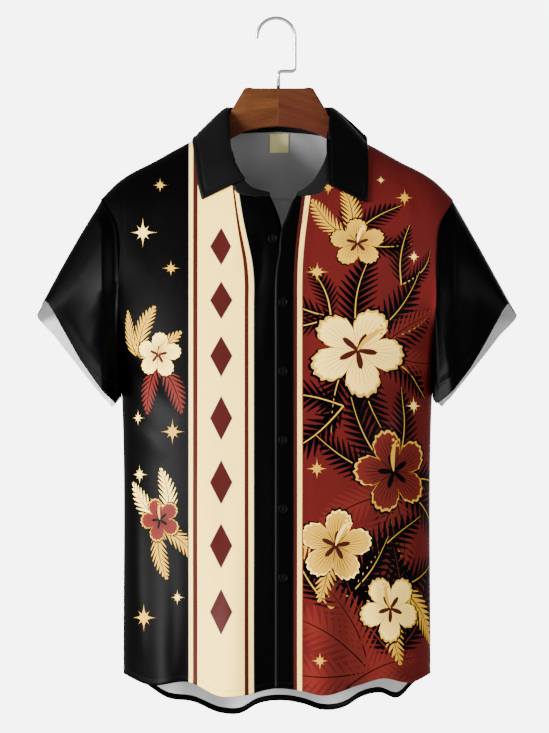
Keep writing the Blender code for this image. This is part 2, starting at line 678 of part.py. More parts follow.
def button(number, x, z, side):
    """A dished four-hole button, its back just clear of the cloth."""
    origin, axes = button_place(x, z, side)
    face_y = -BUTTON_THICK
    inner = BUTTON_RADIUS - BUTTON_RIM
    profile = [(0, face_y + BUTTON_DISH), (inner - BUTTON_EASE, face_y + BUTTON_DISH),
               (inner, face_y), (BUTTON_RADIUS - BUTTON_EASE, face_y),
               (BUTTON_RADIUS, face_y + BUTTON_EASE), (BUTTON_RADIUS - BUTTON_EASE, 0), (0, 0)]
    made = add_object(f"button_{number}", *lathe(profile, BUTTON_SIDES, (origin, axes)),
                      BUTTON_BLACK)
    rod = [(0, -2 * BUTTON_THICK), (HOLE_RADIUS, -2 * BUTTON_THICK),
           (HOLE_RADIUS, BUTTON_THICK), (0, BUTTON_THICK)]
    cutters = []
    for i, (a, b) in enumerate(((-1, -1), (1, -1), (1, 1), (-1, 1))):
        centre = origin + HOLE_PITCH * (a * axes[0] + b * axes[2])
        cutters.append(add_object(f"cut_hole_{number}_{i}", *lathe(rod, HOLE_SIDES, (centre, axes)),
                                  BUTTON_BLACK))
    cut_out(made, cutters)


def neck_label(columns=4, rows=4):
    """A small cloth label inside the back neck."""
    x = np.linspace(LABEL_X - LABEL_WIDTH / 2, LABEL_X + LABEL_WIDTH / 2, columns + 1)[None]
    z = np.linspace(LABEL_BOTTOM, LABEL_TOP, rows + 1)[:, None]
    inward = CLOTH / 2 + LABEL_GAP + LABEL_THICK / 2
    grid = body_points(angle_of(x, z), z, BACK)
    n = normals_of(grid)
    grid = grid + n * inward
    return add_object("neck_label", *wall(grid, LABEL_THICK), CREAM_CLOTH)


# Hanger


def hanger_section(x, shrink):
    """A rounded section of the hanger across x, as y and z points."""
    out = abs(x - HANGER_X)
    top = min(curve(out, HANGER_TOP), shoulder_line(x) - HANGER_CLEAR if out > ARM_START else 0)
    bottom = curve(out, HANGER_BOTTOM)
    middle, tall = (top + bottom) / 2, (top - bottom) / 2
    half, tall = HANGER_HALF_THICK * shrink, tall * shrink
    corner = HANGER_ROUND * shrink
    points = []
    for sy, sz, first in ((1, 1, 0), (-1, 1, 90), (-1, -1, 180), (1, -1, 270)):
        for step in (0, 45, 90):
            a = math.radians(first + step)
            points.append((x, sy * (half - corner) + corner * math.cos(a),
                           middle + sz * (tall - corner) + corner * math.sin(a)))
    return points


def hanger_wood():
    """The wooden arms and arched middle, with a bore for the hook's shank."""
    right = [(HANGER_X + out, 1.0) for out in HANGER_SECTIONS]
    right += [(HANGER_X + HANGER_END - inset, share) for inset, share in HANGER_END_SECTIONS]
    left = [(2 * HANGER_X - x, shrink) for x, shrink in right[1:]]
    stations = left[::-1] + right
    grid = np.array([hanger_section(x, shrink) for x, shrink in stations])
    count = grid.shape[1]
    faces = []
    for row in range(len(stations) - 1):
        for i in range(count):
            j = (i + 1) % count
            a, b = row * count, (row + 1) * count
            faces.append((a + i, b + i, b + j, a + j))
    last = (len(stations) - 1) * count
    faces.append(tuple(range(count)))
    faces.append(tuple(last + i for i in reversed(range(count))))
    made = add_object("hanger_wood", grid.reshape(-1, 3), triangles(faces), MAHOGANY)
    turned_out(made)
    radius = WIRE / 2 + BORE_CLEAR
    bore = sweep(np.array([(SHANK_X, 0, SHANK_END - BORE_CLEAR), (SHANK_X, 0, SHANK_TOP + BORE_RUN_OUT)]),
                 radius, WIRE_SIDES)
    cutter = add_object("cut_bore", *bore, MAHOGANY)
    turned_out(cutter)
    cut_out(made, [cutter])


def triangles(faces):
    """Fans of triangles for the end faces, quads left as they are."""
    made = []
    for face in faces:
        if len(face) <= 4:
            made.append(face)
        else:
            made.extend((face[0], face[k], face[k + 1]) for k in range(1, len(face) - 1))
    return made


def turned_out(made):
    """Turn every face of a closed mesh to point out."""
    shape = bmesh.new()
    shape.from_mesh(made.data)
    bmesh.ops.recalc_face_normals(shape, faces=shape.faces)
    shape.to_mesh(made.data)
    shape.free()


def sweep(path, radius, sides):
    """A closed tube of round section along a path in the plane y = 0, with flat ends."""
    along = np.gradient(path, axis=0)
    along = along / np.linalg.norm(along, axis=1, keepdims=True)
    side = np.array([0, 1.0, 0])
    up = np.cross(along, side)
    turn = np.linspace(0, 2 * math.pi, sides, endpoint=False)
    ring = path[:, None] + radius * (np.cos(turn)[None, :, None] * side
                                     + np.sin(turn)[None, :, None] * up[:, None])
    vertices = ring.reshape(-1, 3).tolist()
    faces = []
    for row in range(len(path) - 1):
        for i in range(sides):
            j = (i + 1) % sides
            a, b = row * sides, (row + 1) * sides
            faces.append((a + i, a + j, b + j, b + i))
    last = (len(path) - 1) * sides
    faces.append(tuple(reversed(range(sides))))
    faces.append(tuple(last + i for i in range(sides)))
    return vertices, triangles(faces)


def bend(centre, radius, start, end, steps):
    """Points of an arc in the plane y = 0, angles in degrees."""
    turn = np.radians(np.linspace(start, end, steps))
    return [(centre[0] + radius * math.cos(a), 0, centre[1] + radius * math.sin(a)) for a in turn]


def hook_path():
    """The wire's centre line from the free tip over the crown and down the shank."""
    crown_z = WIRE / 2 - HOOK_RADIUS
    right = HOOK_RADIUS
    path = bend((0, crown_z), HOOK_RADIUS, 182, 0, 17)
    corner_z = HOOK_SHOULDER_Z + HOOK_BEND
    path += bend((right - HOOK_BEND, corner_z), HOOK_BEND, 0, -90, 4)
    path += bend((SHANK_X + HOOK_BEND, HOOK_SHOULDER_Z - HOOK_BEND), HOOK_BEND, 90, 180, 4)
    path.append((SHANK_X, 0, SHANK_END))
    return np.array(path)


def hanger_hook():
    """The wire hook, its shank standing in the wood's bore."""
    made = add_object("hanger_hook", *sweep(hook_path(), WIRE / 2, WIRE_SIDES), STEEL)
    turned_out(made)


def main():
    """Remove what the scene holds and build every piece."""
    for old in list(bpy.data.objects):
        bpy.data.objects.remove(old)
    front_panel("front_left", 1, RED_CLOTH)
    front_panel("front_right", -1, BLACK_CLOTH)
    back_yoke()
    back_panel()
    sleeve("sleeve_left", 1)
    sleeve("sleeve_right", -1)
    collar_stand()
    collar_leaf()
    button(1, *TOP_BUTTON, -1)
    for i in range(LEFT_BUTTONS):
        button(i + 2, BUTTON_X, FIRST_BUTTON_Z - i * BUTTON_PITCH, 1)
    neck_label()
    hanger_wood()
    hanger_hook()


main()
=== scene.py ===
"""Dresses a short-sleeved shirt that hangs on a wooden hanger with a wire hook.

Sizes are in millimetres and become metres when a mesh is made. The origin is the inner crown of the
hook. +X is the viewer's right, the front of the shirt faces -Y, +Z is up. Left and right in the
names are the wearer's, so the left front is on the viewer's right.
"""

from __future__ import annotations

import logging
import math
from dataclasses import dataclass, replace
from enum import Enum, IntEnum
from typing import Callable, Sequence, Union

import bmesh
import bpy
import numpy as np
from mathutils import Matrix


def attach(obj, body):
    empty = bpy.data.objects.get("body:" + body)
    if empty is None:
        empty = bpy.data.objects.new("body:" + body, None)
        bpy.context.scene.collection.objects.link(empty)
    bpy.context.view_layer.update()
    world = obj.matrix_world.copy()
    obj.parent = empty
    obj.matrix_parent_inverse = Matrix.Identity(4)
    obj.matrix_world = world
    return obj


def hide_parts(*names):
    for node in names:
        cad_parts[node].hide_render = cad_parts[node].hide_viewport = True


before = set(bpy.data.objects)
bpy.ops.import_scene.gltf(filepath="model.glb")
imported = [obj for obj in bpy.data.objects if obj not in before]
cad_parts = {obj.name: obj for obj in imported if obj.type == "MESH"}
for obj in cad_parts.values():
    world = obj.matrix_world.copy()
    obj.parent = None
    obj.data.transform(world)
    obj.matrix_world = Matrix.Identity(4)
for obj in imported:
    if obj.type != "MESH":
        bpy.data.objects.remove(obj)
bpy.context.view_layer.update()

log = logging.getLogger("shirt")

Array = np.ndarray
Rows = tuple[tuple[float, ...], ...]
Colour = tuple[float, float, float]
Value = Union[float, "Wire"]
Inputs = dict[Union[int, str], object]
Material, Object = bpy.types.Material, bpy.types.Object
Node, NodeSocket, NodeTree = bpy.types.Node, bpy.types.NodeSocket, bpy.types.NodeTree

MM = 0.001
BODY = "root"


# Curves and small formulas


def curve(at: Array | float, rows: Sequence[Sequence[float]], column: int = 1) -> Array:
    """Smooth curve through the rows of a table.

    Formula: a cubic Hermite piece between each two rows, with slopes from the rows on both sides.

    Args:
        at: Positions where the curve is wanted; outside the table it keeps its end value.
        rows: Rows whose first column is the position, rising.
        column: The column whose values the curve passes through.

    Returns:
        The value at each position.
    """
    table = np.array(rows, float)
    p, v = table[:, 0], table[:, column]
    slope = np.gradient(v, p)
    at = np.clip(at, p[0], p[-1])
    k = np.clip(np.searchsorted(p, at) - 1, 0, len(p) - 2)
    step = p[k + 1] - p[k]
    t = (at - p[k]) / step
    ends = (2 * t**3 - 3 * t**2 + 1) * v[k] + (3 * t**2 - 2 * t**3) * v[k + 1]
    return ends + step * ((t**3 - 2 * t**2 + t) * slope[k] + (t**3 - t**2) * slope[k + 1])


def smoothstep(value: Array | float) -> Array:
    """Ease from 0 to 1 as the value goes from 0 to 1: t squared times (3 - 2t)."""
    t = np.clip(value, 0, 1)
    return t * t * (3 - 2 * t)


def bump(at: Array, centre: float, reach: float) -> Array:
    """A soft bump of height 1: e to the minus square of the distance over the reach."""
    return np.exp(-(((at - centre) / reach) ** 2))


def squared(value: Array, power: float) -> Array:
    """A sine or cosine drawn out towards a square: its size to the 2 over the power, signed."""
    return np.sign(value) * np.abs(value) ** (2 / power)


def run_length(points: Array) -> Array:
    """Length run along a line of points, from 0 at its first point."""
    steps = np.linalg.norm(np.diff(points, axis=0), axis=-1)
    return np.concatenate([np.zeros((1, *steps.shape[1:])), np.cumsum(steps, axis=0)])


def evenly(points: Array, count: int) -> Array:
    """The points of a line again, evenly spaced along it."""
    run = run_length(points)
    want = np.linspace(0, run[-1], count)
    return np.stack([np.interp(want, run, column) for column in points.T], axis=-1)


def turned_hem(off: Array, stitch: float) -> Array:
    """Relief of a turned hem: raised up to its stitching, which lies in a groove.

    Args:
        off: Height over the hem of each point.
        stitch: Height of the stitching.

    Returns:
        The relief at each point.
    """
    return 0.35 * (1 - smoothstep((off - stitch) / 1.5)) - 0.5 * bump(off, stitch, 1.3)


def unit(vectors: Array) -> Array:
    """The vectors at length 1."""
    return vectors / np.maximum(np.linalg.norm(vectors, axis=-1, keepdims=True), 1e-9)


def creases(x: Array, z: Array, rows: Sequence[Sequence[float]]) -> Array:
    """Height of creases that are listed in a table.

    Formula: each crease follows a bowed line from one point to another. Across the line its height
    is a bell that falls off faster on one side, and along it the height and the width swell from
    nothing at both ends.

    Args:
        x: Distance across the cloth of each point.
        z: Height of each point.
        rows: (x, z) of the start and the end, half width, height (- is a trough), bow, and how
            many times steeper than even the side of rising x is for a crease that runs down.

    Returns:
        The sum of all creases at each point.
    """
    total = np.zeros(np.broadcast(x, z).shape)
    for x0, z0, x1, z1, width, height, bow, *rest in rows:
        edge = rest[0] if rest else 1.3
        long = math.hypot(x1 - x0, z1 - z0)
        t = ((x - x0) * (x1 - x0) + (z - z0) * (z1 - z0)) / long**2
        swell = np.sin(math.pi * np.clip(t, 0, 1))
        off = ((z - z0) * (x1 - x0) - (x - x0) * (z1 - z0)) / long - bow * swell
        q = off / (width * (0.6 + 0.4 * swell)) * np.where(off > 0, edge, 1 / edge)
        total = total + height * swell**0.8 * np.exp(-(q**2))
    return total


# Grids of points and the shells made from them


@dataclass
class Seam:
    """One row of stitching: its line, the cloth's normals on it and the cloth's face above it."""

    line: Array
    normals: Array
    lift: float


@dataclass
class Grid:
    """A sheet of points (rows, columns, 3) with its place on the cut cloth and on the print."""

    points: Array
    cut: Array
    printed: Array
    ring: bool = False

    def normals(self) -> Array:
        """Unit normals, columns crossed with rows; a ring closes on itself across its columns."""
        if self.ring:
            wide = np.concatenate([self.points[:, -1:], self.points, self.points[:, :1]], axis=1)
            across = np.gradient(wide, axis=1)[:, 1:-1]
        else:
            across = np.gradient(self.points, axis=1)
        return unit(np.cross(across, np.gradient(self.points, axis=0)))

    def raised(self, relief: Array, still: Array | None = None) -> None:
        """Move the points out along the normals by the relief, apart from those that stay still."""
        moved = self.points + self.normals() * relief[..., None]
        self.points = moved if still is None else np.where(still[..., None], self.points, moved)

    def flipped(self) -> Grid:
        """The same sheet with its columns in the other order, so that it faces the other way."""
        return Grid(self.points[:, ::-1], self.cut[:, ::-1], self.printed[:, ::-1], self.ring)

    def line(self, across: Array, target: Array | float, rows: slice = slice(None),
             way: int = 1) -> tuple[Array, Array]:
        """A line over the sheet where a rising quantity reaches a target in every row.

        Args:
            across: The quantity at each point, rising along each row.
            target: The value wanted in each row.
            rows: The rows that the line crosses.
            way: -1 turns the normals round.

        Returns:
            The points of the line and the unit normals there.
        """
        part, points, n = across[rows], self.points[rows], self.normals()[rows]
        target = np.broadcast_to(target, part.shape[:1])[:, None]
        k = np.clip((part < target).sum(axis=1) - 1, 0, part.shape[1] - 2)
        r = np.arange(len(part))
        share = (target[:, 0] - part[r, k]) / np.maximum(part[r, k + 1] - part[r, k], 1e-6)
        share = np.clip(share, 0, 1)[:, None]
        line = points[r, k] * (1 - share) + points[r, k + 1] * share
        return line, way * unit(n[r, k] * (1 - share) + n[r, k + 1] * share)

    def over_hem(self) -> Array:
        """Height of each point over the first point of its column."""
        return self.points[..., 2] - self.points[:1, :, 2]

    def turned(self) -> Grid:
        """The same sheet with rows and columns changed over."""
        swap = (1, 0, 2)
        return Grid(self.points.transpose(swap), self.cut.transpose(swap),
                    self.printed.transpose(swap))


def linked(name: str, data: bpy.types.ID) -> Object:
    """A new object round its data, linked to the scene."""
    made = bpy.data.objects.new(name, data)
    bpy.context.scene.collection.objects.link(made)
    return made


def mesh_object(name: str, vertices: Array, faces: Array, materials: Sequence[Material],
                slots: Array | None = None, uvs: dict[str, Array] | None = None) -> Object:
    """A smooth mesh object from arrays.

    Args:
        name: The object's name.
        vertices: Points in millimetres.
        faces: Quads as rows of four vertex numbers.
        materials: The materials of its slots.
        slots: The slot of each face, all 0 if left out.
        uvs: For each UV map's name the metres (u, v) at each vertex.

    Returns:
        The object, linked to the scene.
    """
    mesh = bpy.data.meshes.new(name)
    faces = np.asarray(faces)
    mesh.vertices.add(len(vertices))
    mesh.vertices.foreach_set("co", (np.asarray(vertices) * MM).astype(np.float32).ravel())
    mesh.loops.add(faces.size)
    mesh.loops.foreach_set("vertex_index", faces.astype(np.int32).ravel())
    mesh.polygons.add(len(faces))
    starts = np.arange(0, faces.size, faces.shape[1], dtype=np.int32)
    mesh.polygons.foreach_set("loop_start", starts)
    for finish in materials:
        mesh.materials.append(finish)
    if slots is not None:
        mesh.polygons.foreach_set("material_index", np.asarray(slots, np.int32))
    mesh.update(calc_edges=True)
    for label, at in (uvs or {}).items():
        layer = mesh.uv_layers.new(name=label)
        layer.data.foreach_set("uv", (at[faces.ravel()] * MM).astype(np.float32).ravel())
    mesh.shade_smooth()
    mesh.validate()
    return linked(name, mesh)


def solid(name: str, vertices: Array, faces: list[tuple[int, ...]], finish: Material,
          node: str = "") -> Object:
    """A closed object from points in millimetres, its faces turned out.

    Args:
        name: The object's name.
        vertices: Points in millimetres.
        faces: The vertex numbers of each face, of any length.
        finish: Its material.
        node: The solid that it replaces; without one it is shaded flat.

    Returns:
        The object, linked to the scene.
    """
    mesh = bpy.data.meshes.new(name)
    mesh.from_pydata((vertices * MM).tolist(), [], faces)
    shape = bmesh.new()
    shape.from_mesh(mesh)
    bmesh.ops.recalc_face_normals(shape, faces=shape.faces)
    shape.to_mesh(mesh)
    shape.free()
    mesh.materials.append(finish)
    made = linked(name, mesh)
    if node:
        mesh.shade_smooth()
        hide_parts(node)
    return made


def tube(rings: Array) -> tuple[Array, Array]:
    """The vertex numbers of rings in rows, and the same with each ring's first one again."""
    index = np.arange(rings.shape[0] * rings.shape[1]).reshape(rings.shape[:2])
    return index, np.concatenate([index, index[:, :1]], axis=1)


def tuples(faces: Array) -> list[tuple[int, ...]]:
    """The rows of an array of faces as tuples."""
    return [tuple(face) for face in faces.tolist()]


def quads(index: Array, other: Array | None = None) -> Array:
    """Quads between neighbouring rows and columns of a grid of vertex numbers."""
    a, b, c, d = index[:-1, :-1], index[:-1, 1:], index[1:, 1:], index[1:, :-1]
    order = (a, b, c, d) if other is None else (a, d, c, b)
    return np.stack(order, -1).reshape(-1, 4)


@dataclass(frozen=True)
class Shell:
    """A closed shell of even thickness round a sheet of points.

    Formula: each point is moved half the thickness along the normal, once out and once in, and a
    strip of edge points between the two sheets, moved out by the edge's round, closes the rim.
    """

    thick: float = 1.1
    round: float = 0.35
    turned_edge: int = 0
    side_band: int = 2
    weave: str = "cloth"

    def build(self, node: str, grid: Grid, outer: Material, inner: Material,
              flat: Array | None = None, rim: Material | None = None) -> Object:
        """Make the shell's object, which replaces a node and is named after it.

        Args:
            node: The node's name.
            grid: The middle sheet, facing out.
            outer: The material of the outside and of the rim.
            inner: The material of the inside.
            flat: Marks points on a seam, whose normal keeps no part along Y.
            rim: The material of the rim, where it isn't that of the outside.

        Returns:
            The shell's object.
        """
        n = grid.normals()
        if flat is not None:
            n[flat, 1] = 0
            n = unit(n)
        half = self.thick / 2
        rows, columns = grid.points.shape[:2]
        vertices = np.concatenate([grid.points + n * half, grid.points - n * half]).reshape(-1, 3)
        index = np.arange(rows * columns).reshape(rows, columns)
        if grid.ring:
            index = np.concatenate([index, index[:, :1]], axis=1)
        back = index + rows * columns
        faces = [quads(index), quads(back, back)]
        sides = np.zeros((2, rows - 1, index.shape[1] - 1), int)
        sides[1] = 1
        rim_slot = 2 if rim else 0
        sides[0, :, :1] = sides[0, :, -1:] = rim_slot
        if self.turned_edge:
            sides[1, : self.turned_edge] = 0
            sides[1, :, : self.side_band] = sides[1, :, -self.side_band:] = 0
        slots = [sides.ravel()]
        rims = [(index[0], back[0], 1), (index[-1], back[-1], -1)]
        if not grid.ring:
            rims += [(index[:, 0], back[:, 0], -1), (index[:, -1], back[:, -1], 1)]
        cuts, prints = (np.concatenate([at, at]).reshape(-1, 2) for at in (grid.cut, grid.printed))
        for front, rear, way in rims:
            edge = vertices[front] - vertices[rear]
            along = np.gradient(vertices[front], axis=0)
            out = unit(np.cross(edge, along)) * way * -1
            start = len(vertices)
            middle = (vertices[front] + vertices[rear]) / 2 + out * self.round
            vertices = np.concatenate([vertices, middle])
            cuts = np.concatenate([cuts, cuts[front]])
            prints = np.concatenate([prints, prints[front]])
            strip = start + np.arange(len(front))
            if grid.ring:
                strip[-1] = start
            for low, high in ((front, strip), (strip, rear)):
                band = np.stack([low[:-1], low[1:], high[1:], high[:-1]], -1)
                faces.append(band if way < 0 else band[:, ::-1])
                slots.append(np.full(len(band), rim_slot))
        made = mesh_object(f"{node}_{self.weave}", vertices, np.concatenate(faces),
                           [outer, inner, rim] if rim else [outer, inner],
                           np.concatenate(slots), {"cut": cuts, "print": prints})
        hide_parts(node)
        return made


# The body of the shirt as one surface


class Face(IntEnum):
    """The two faces of the body, and the ridge where they meet."""

    FRONT = -1
    RIDGE = 0
    BACK = 1


class Side(IntEnum):
    """The two sides of the shirt as the viewer sees them."""

    VIEWER_LEFT = -1
    VIEWER_RIGHT = 1


@dataclass(frozen=True)
class Torso:
    """The hung body: its half width by height, its shoulder line, its depth and its soft folds."""

    centre: float = 1.3
    neck: float = 4.0
    gap: float = 0.12
    side_rows: Rows = ((-900, 195.5), (-836, 196), (-500, 197.5), (-430, 200.5), (-370, 202.5),
                       (-299, 203.5), (-260, 208.5), (-231, 225.5))
    shoulder_rows: Rows = ((0, -118.5), (40, -124.5), (77, -141.5), (113, -158), (153, -180),
                           (207, -212), (225.5, -231))
    tip_z: float = -231
    underarm_z: float = -430
    depth_front: float = 98
    depth_back: float = 90
    armhole_front: float = 80
    armhole_back: float = 72
    armhole_rise: float = 110
    armhole_power: float = 0.75
    ease_below: float = 70
    ease_rise: float = 200
    ease_power: float = 5
    side_turn: float = 90
    armhole_turn: float = 38
    turn_rise: float = 130
    crown_reach: float = 300
    crown_power: float = 1.8
    # centre x at the hem, lean, reach, depth (+ is outward), top, face
    folds: Rows = (
        (-57, 14, 26, 11, -560, -1), (62, -10, 24, 10, -590, -1), (118, -22, 20, -7, -600, -1),
        (156, 12, 18, 6, -650, -1), (-112, 10, 22, -5, -640, -1), (-150, 20, 18, 5, -560, -1),
        (-57, 10, 26, 12, -600, 1), (64, -12, 26, 12, -560, 1), (4, 0, 24, -6, -640, 1),
        (122, -14, 20, -6, -620, 1), (-125, 14, 20, -6, -600, 1),
    )
    fold_end: float = -880
    fold_limit: float = 1.05
    front_hem: Rows = ((-197, -836), (-166, -850), (-109, -847.4), (-70.3, -864.8),
                       (-45.2, -864), (0.9, -854.4), (32.9, -857.6), (57.5, -863.3),
                       (107.4, -850), (135.5, -842.3), (174.8, -847.4), (199.6, -835.6))
    back_hem: Rows = ((-196, -836), (-166.8, -851.7), (-141.7, -868.4), (-106.5, -874.8),
                      (-70.6, -889.7), (-45.4, -890.1), (-25, -878.5), (7.7, -873.5),
                      (36.5, -878.3), (57.8, -885.5), (89.9, -880.9), (107.8, -869.4),
                      (132.7, -863), (157.8, -868.7), (177.4, -849.2), (198.6, -836))
    side_hem: float = -836
    left_edge: Rows = ((-900, -1.3), (-400, -1.3), (-359, -1.3), (-323, 0), (-299, 3.8),
                       (-267, 7.7), (-254, 13.4), (-231, 23), (-222, 29.4))
    right_edge: Rows = ((-900, 19.2), (-440, 19.2), (-380, 19.2), (-330, 16), (-286, 9),
                        (-257, 4.5), (-240, -1.5), (-222, -10.2))
    corner_z: float = -226
    neckline_rows: Rows = ((34, -227), (52.3, -223.4), (58.3, -216), (65, -203), (71, -185),
                           (75, -165), (77.3, -150))
    neck_half: float = 78
    neck_depth: float = 30
    neck_round: float = 2.6
    overlap: tuple[float, float, float] = (2.1, 24, 22)
    yoke_z: float = -228.5
    yoke_drop: float = 45
    yoke_drop_at: float = 215

    def side(self, z: Array | float) -> Array:
        """Half width of the body at this height."""
        return curve(z, self.side_rows)

    def shoulder(self, x: Array | float) -> Array:
        """Height of the shoulder line, where front and back meet."""
        return curve(np.abs(x - self.centre), self.shoulder_rows)

    def side_angle(self, z: Array | float) -> Array:
        """How far round the body the side seam or armhole lies, in radians."""
        turn = self.armhole_turn * smoothstep((z - self.underarm_z) / self.turn_rise)
        return np.radians(self.side_turn - turn)

    def angle_of(self, x: Array | float, z: Array | float) -> Array:
        """The angle round the body of a point seen from the front."""
        across = (x - self.centre) / self.side(z) * np.sin(self.side_angle(z))
        return np.arcsin(np.clip(across, -1, 1))

    def x_of(self, angle: Array | float, z: Array | float) -> Array:
        """The x of a point at this angle round the body."""
        return self.centre + self.side(z) * np.sin(angle) / np.sin(self.side_angle(z))

    def crown(self, drop: Array) -> Array:
        """Share of the full depth this far below the shoulder line, a superellipse."""
        left = 1 - np.clip(drop / self.crown_reach, 0, 1)
        return (1 - left**self.crown_power) ** (1 / self.crown_power)

    def fold_depth(self, x: Array, z: Array, face: Face) -> Array:
        """How far the soft folds stand out, each a bump across that grows towards the hem."""
        total = np.zeros(np.broadcast(x, z).shape)
        for at, lean, reach, depth, top, side in self.folds:
            if side == face:
                fall = np.clip((top - z) / (top - self.fold_end), 0, self.fold_limit)
                total = total + depth * smoothstep(fall) * bump(x, at + lean * (1 - fall), reach)
        return total

    def depth(self, angle: Array, z: Array, face: Face) -> Array:
        """Distance of the body's mid surface from the plane of the hanger.

        Formula: at the armhole a quarter round of height that eases into a longer one away from
        it, from there to the middle a share by the cosine of the angle, all of it times the crown,
        plus the soft folds.

        Args:
            angle: The angle round the body.
            z: The height.
            face: The face of the body.

        Returns:
            The distance at each point.
        """
        front = face == Face.FRONT
        closing = np.clip((z - self.underarm_z) / self.armhole_rise, 0, 1)
        deepest = self.armhole_front if front else self.armhole_back
        turn = self.side_angle(z)
        share = (np.cos(angle) - np.cos(turn)) / (1 - np.cos(turn))
        at_edge = np.clip(1 - share, 0, 1) ** self.ease_power
        eased = smoothstep((z - self.underarm_z + self.ease_below) / self.ease_rise)
        rounded = (1 - (1 - closing) ** 2) ** self.armhole_power
        armhole = deepest * (at_edge * rounded + (1 - at_edge) * eased)
        x = self.x_of(angle, z)
        full = armhole + ((self.depth_front if front else self.depth_back) - armhole) * share
        drop = np.maximum(self.shoulder(x) - z, 0)
        return full * self.crown(drop) + share * self.fold_depth(x, z, face)

    def points(self, angle: Array, z: Array, face: Face, lift: Array | float = 0.0) -> Array:
        """Points of the body's mid surface.

        Args:
            angle: The angle round the body.
            z: The height.
            face: The face of the body.
            lift: How far the points are moved out.

        Returns:
            The points, x, y and z last.
        """
        y = face * (self.depth(angle, z, face) + self.gap / 2 + lift)
        return np.stack(np.broadcast_arrays(self.x_of(angle, z), y, z), axis=-1)

    def y(self, x: Array | float, z: Array | float, face: Face) -> Array:
        """The y of the mid surface over a point of the view from the front."""
        return self.points(self.angle_of(x, z), z, face)[..., 1]

    def hem(self, x: Array | float, face: Face) -> Array:
        """Height of the hem, with its waves, which turns up to the side seams."""
        return curve(x, self.front_hem if face == Face.FRONT else self.back_hem)

    def neck_seam(self, x: Array) -> Array:
        """Height of the back neck seam, an arc in plan that is laid on the body."""
        out = np.abs(np.clip((x - self.neck) / self.neck_half, -1, 1))
        arc = (1 - out**self.neck_round) ** (1 / self.neck_round)
        share = self.neck_depth * arc / self.depth_back
        drop = self.crown_reach * (1 - (1 - share**self.crown_power) ** (1 / self.crown_power))
        return self.shoulder(x) - drop

    def back_neck_arc(self, turn: Array) -> tuple[Array, Array]:
        """Points (x, y) of the back neck seam in plan, a superellipse from +X to -X."""
        x = self.neck + self.neck_half * squared(np.cos(turn), self.neck_round)
        return x, self.neck_depth * np.abs(squared(np.sin(turn), self.neck_round))

    def edge(self, side: Side) -> Rows:
        """The rows (height, x) of the front edge on this side of the opening."""
        return self.left_edge if side > 0 else self.right_edge

    def overlap_lift(self, x: Array, z: Array) -> Array:
        """How far the left front stands out over the right one, fading away from its edge."""
        lift, level, fade = self.overlap
        inward = np.abs(x - curve(z, self.left_edge)) - level
        return lift * (1 - smoothstep(inward / fade))

    def front_y(self, x: Array | float, z: Array | float, side: Side) -> Array:
        """The mid surface of the front on this side of the opening."""
        return self.y(x, z, Face.FRONT) - (self.overlap_lift(x, z) if side > 0 else 0)

    def yoke_seam(self, share: Array) -> Array:
        """Height of the yoke seam on the columns at these shares of the side angle."""
        z = np.full(np.shape(share), float(self.yoke_z))
        for _ in range(8):
            out = self.x_of(share * self.side_angle(z), z) - self.centre
            z = self.yoke_z - self.yoke_drop * (out / self.yoke_drop_at) ** 2
        return z

    def neckline(self, side: Side, station: Array) -> Array:
        """The front neckline at these stations, 0 at the front edge and 8 at the shoulder."""
        rows = [(float(curve(self.corner_z, self.edge(side))), self.corner_z)]
        rows += [(self.neck + side * out, z) for out, z in self.neckline_rows]
        end = self.neck + side * self.neck_half
        rows.append((end, float(self.shoulder(end))))
        rows = [(k, *row) for k, row in enumerate(rows)]
        x, z = curve(station, rows), curve(station, rows, 2)
        return np.stack([x, self.front_y(x, z, side), z], -1)


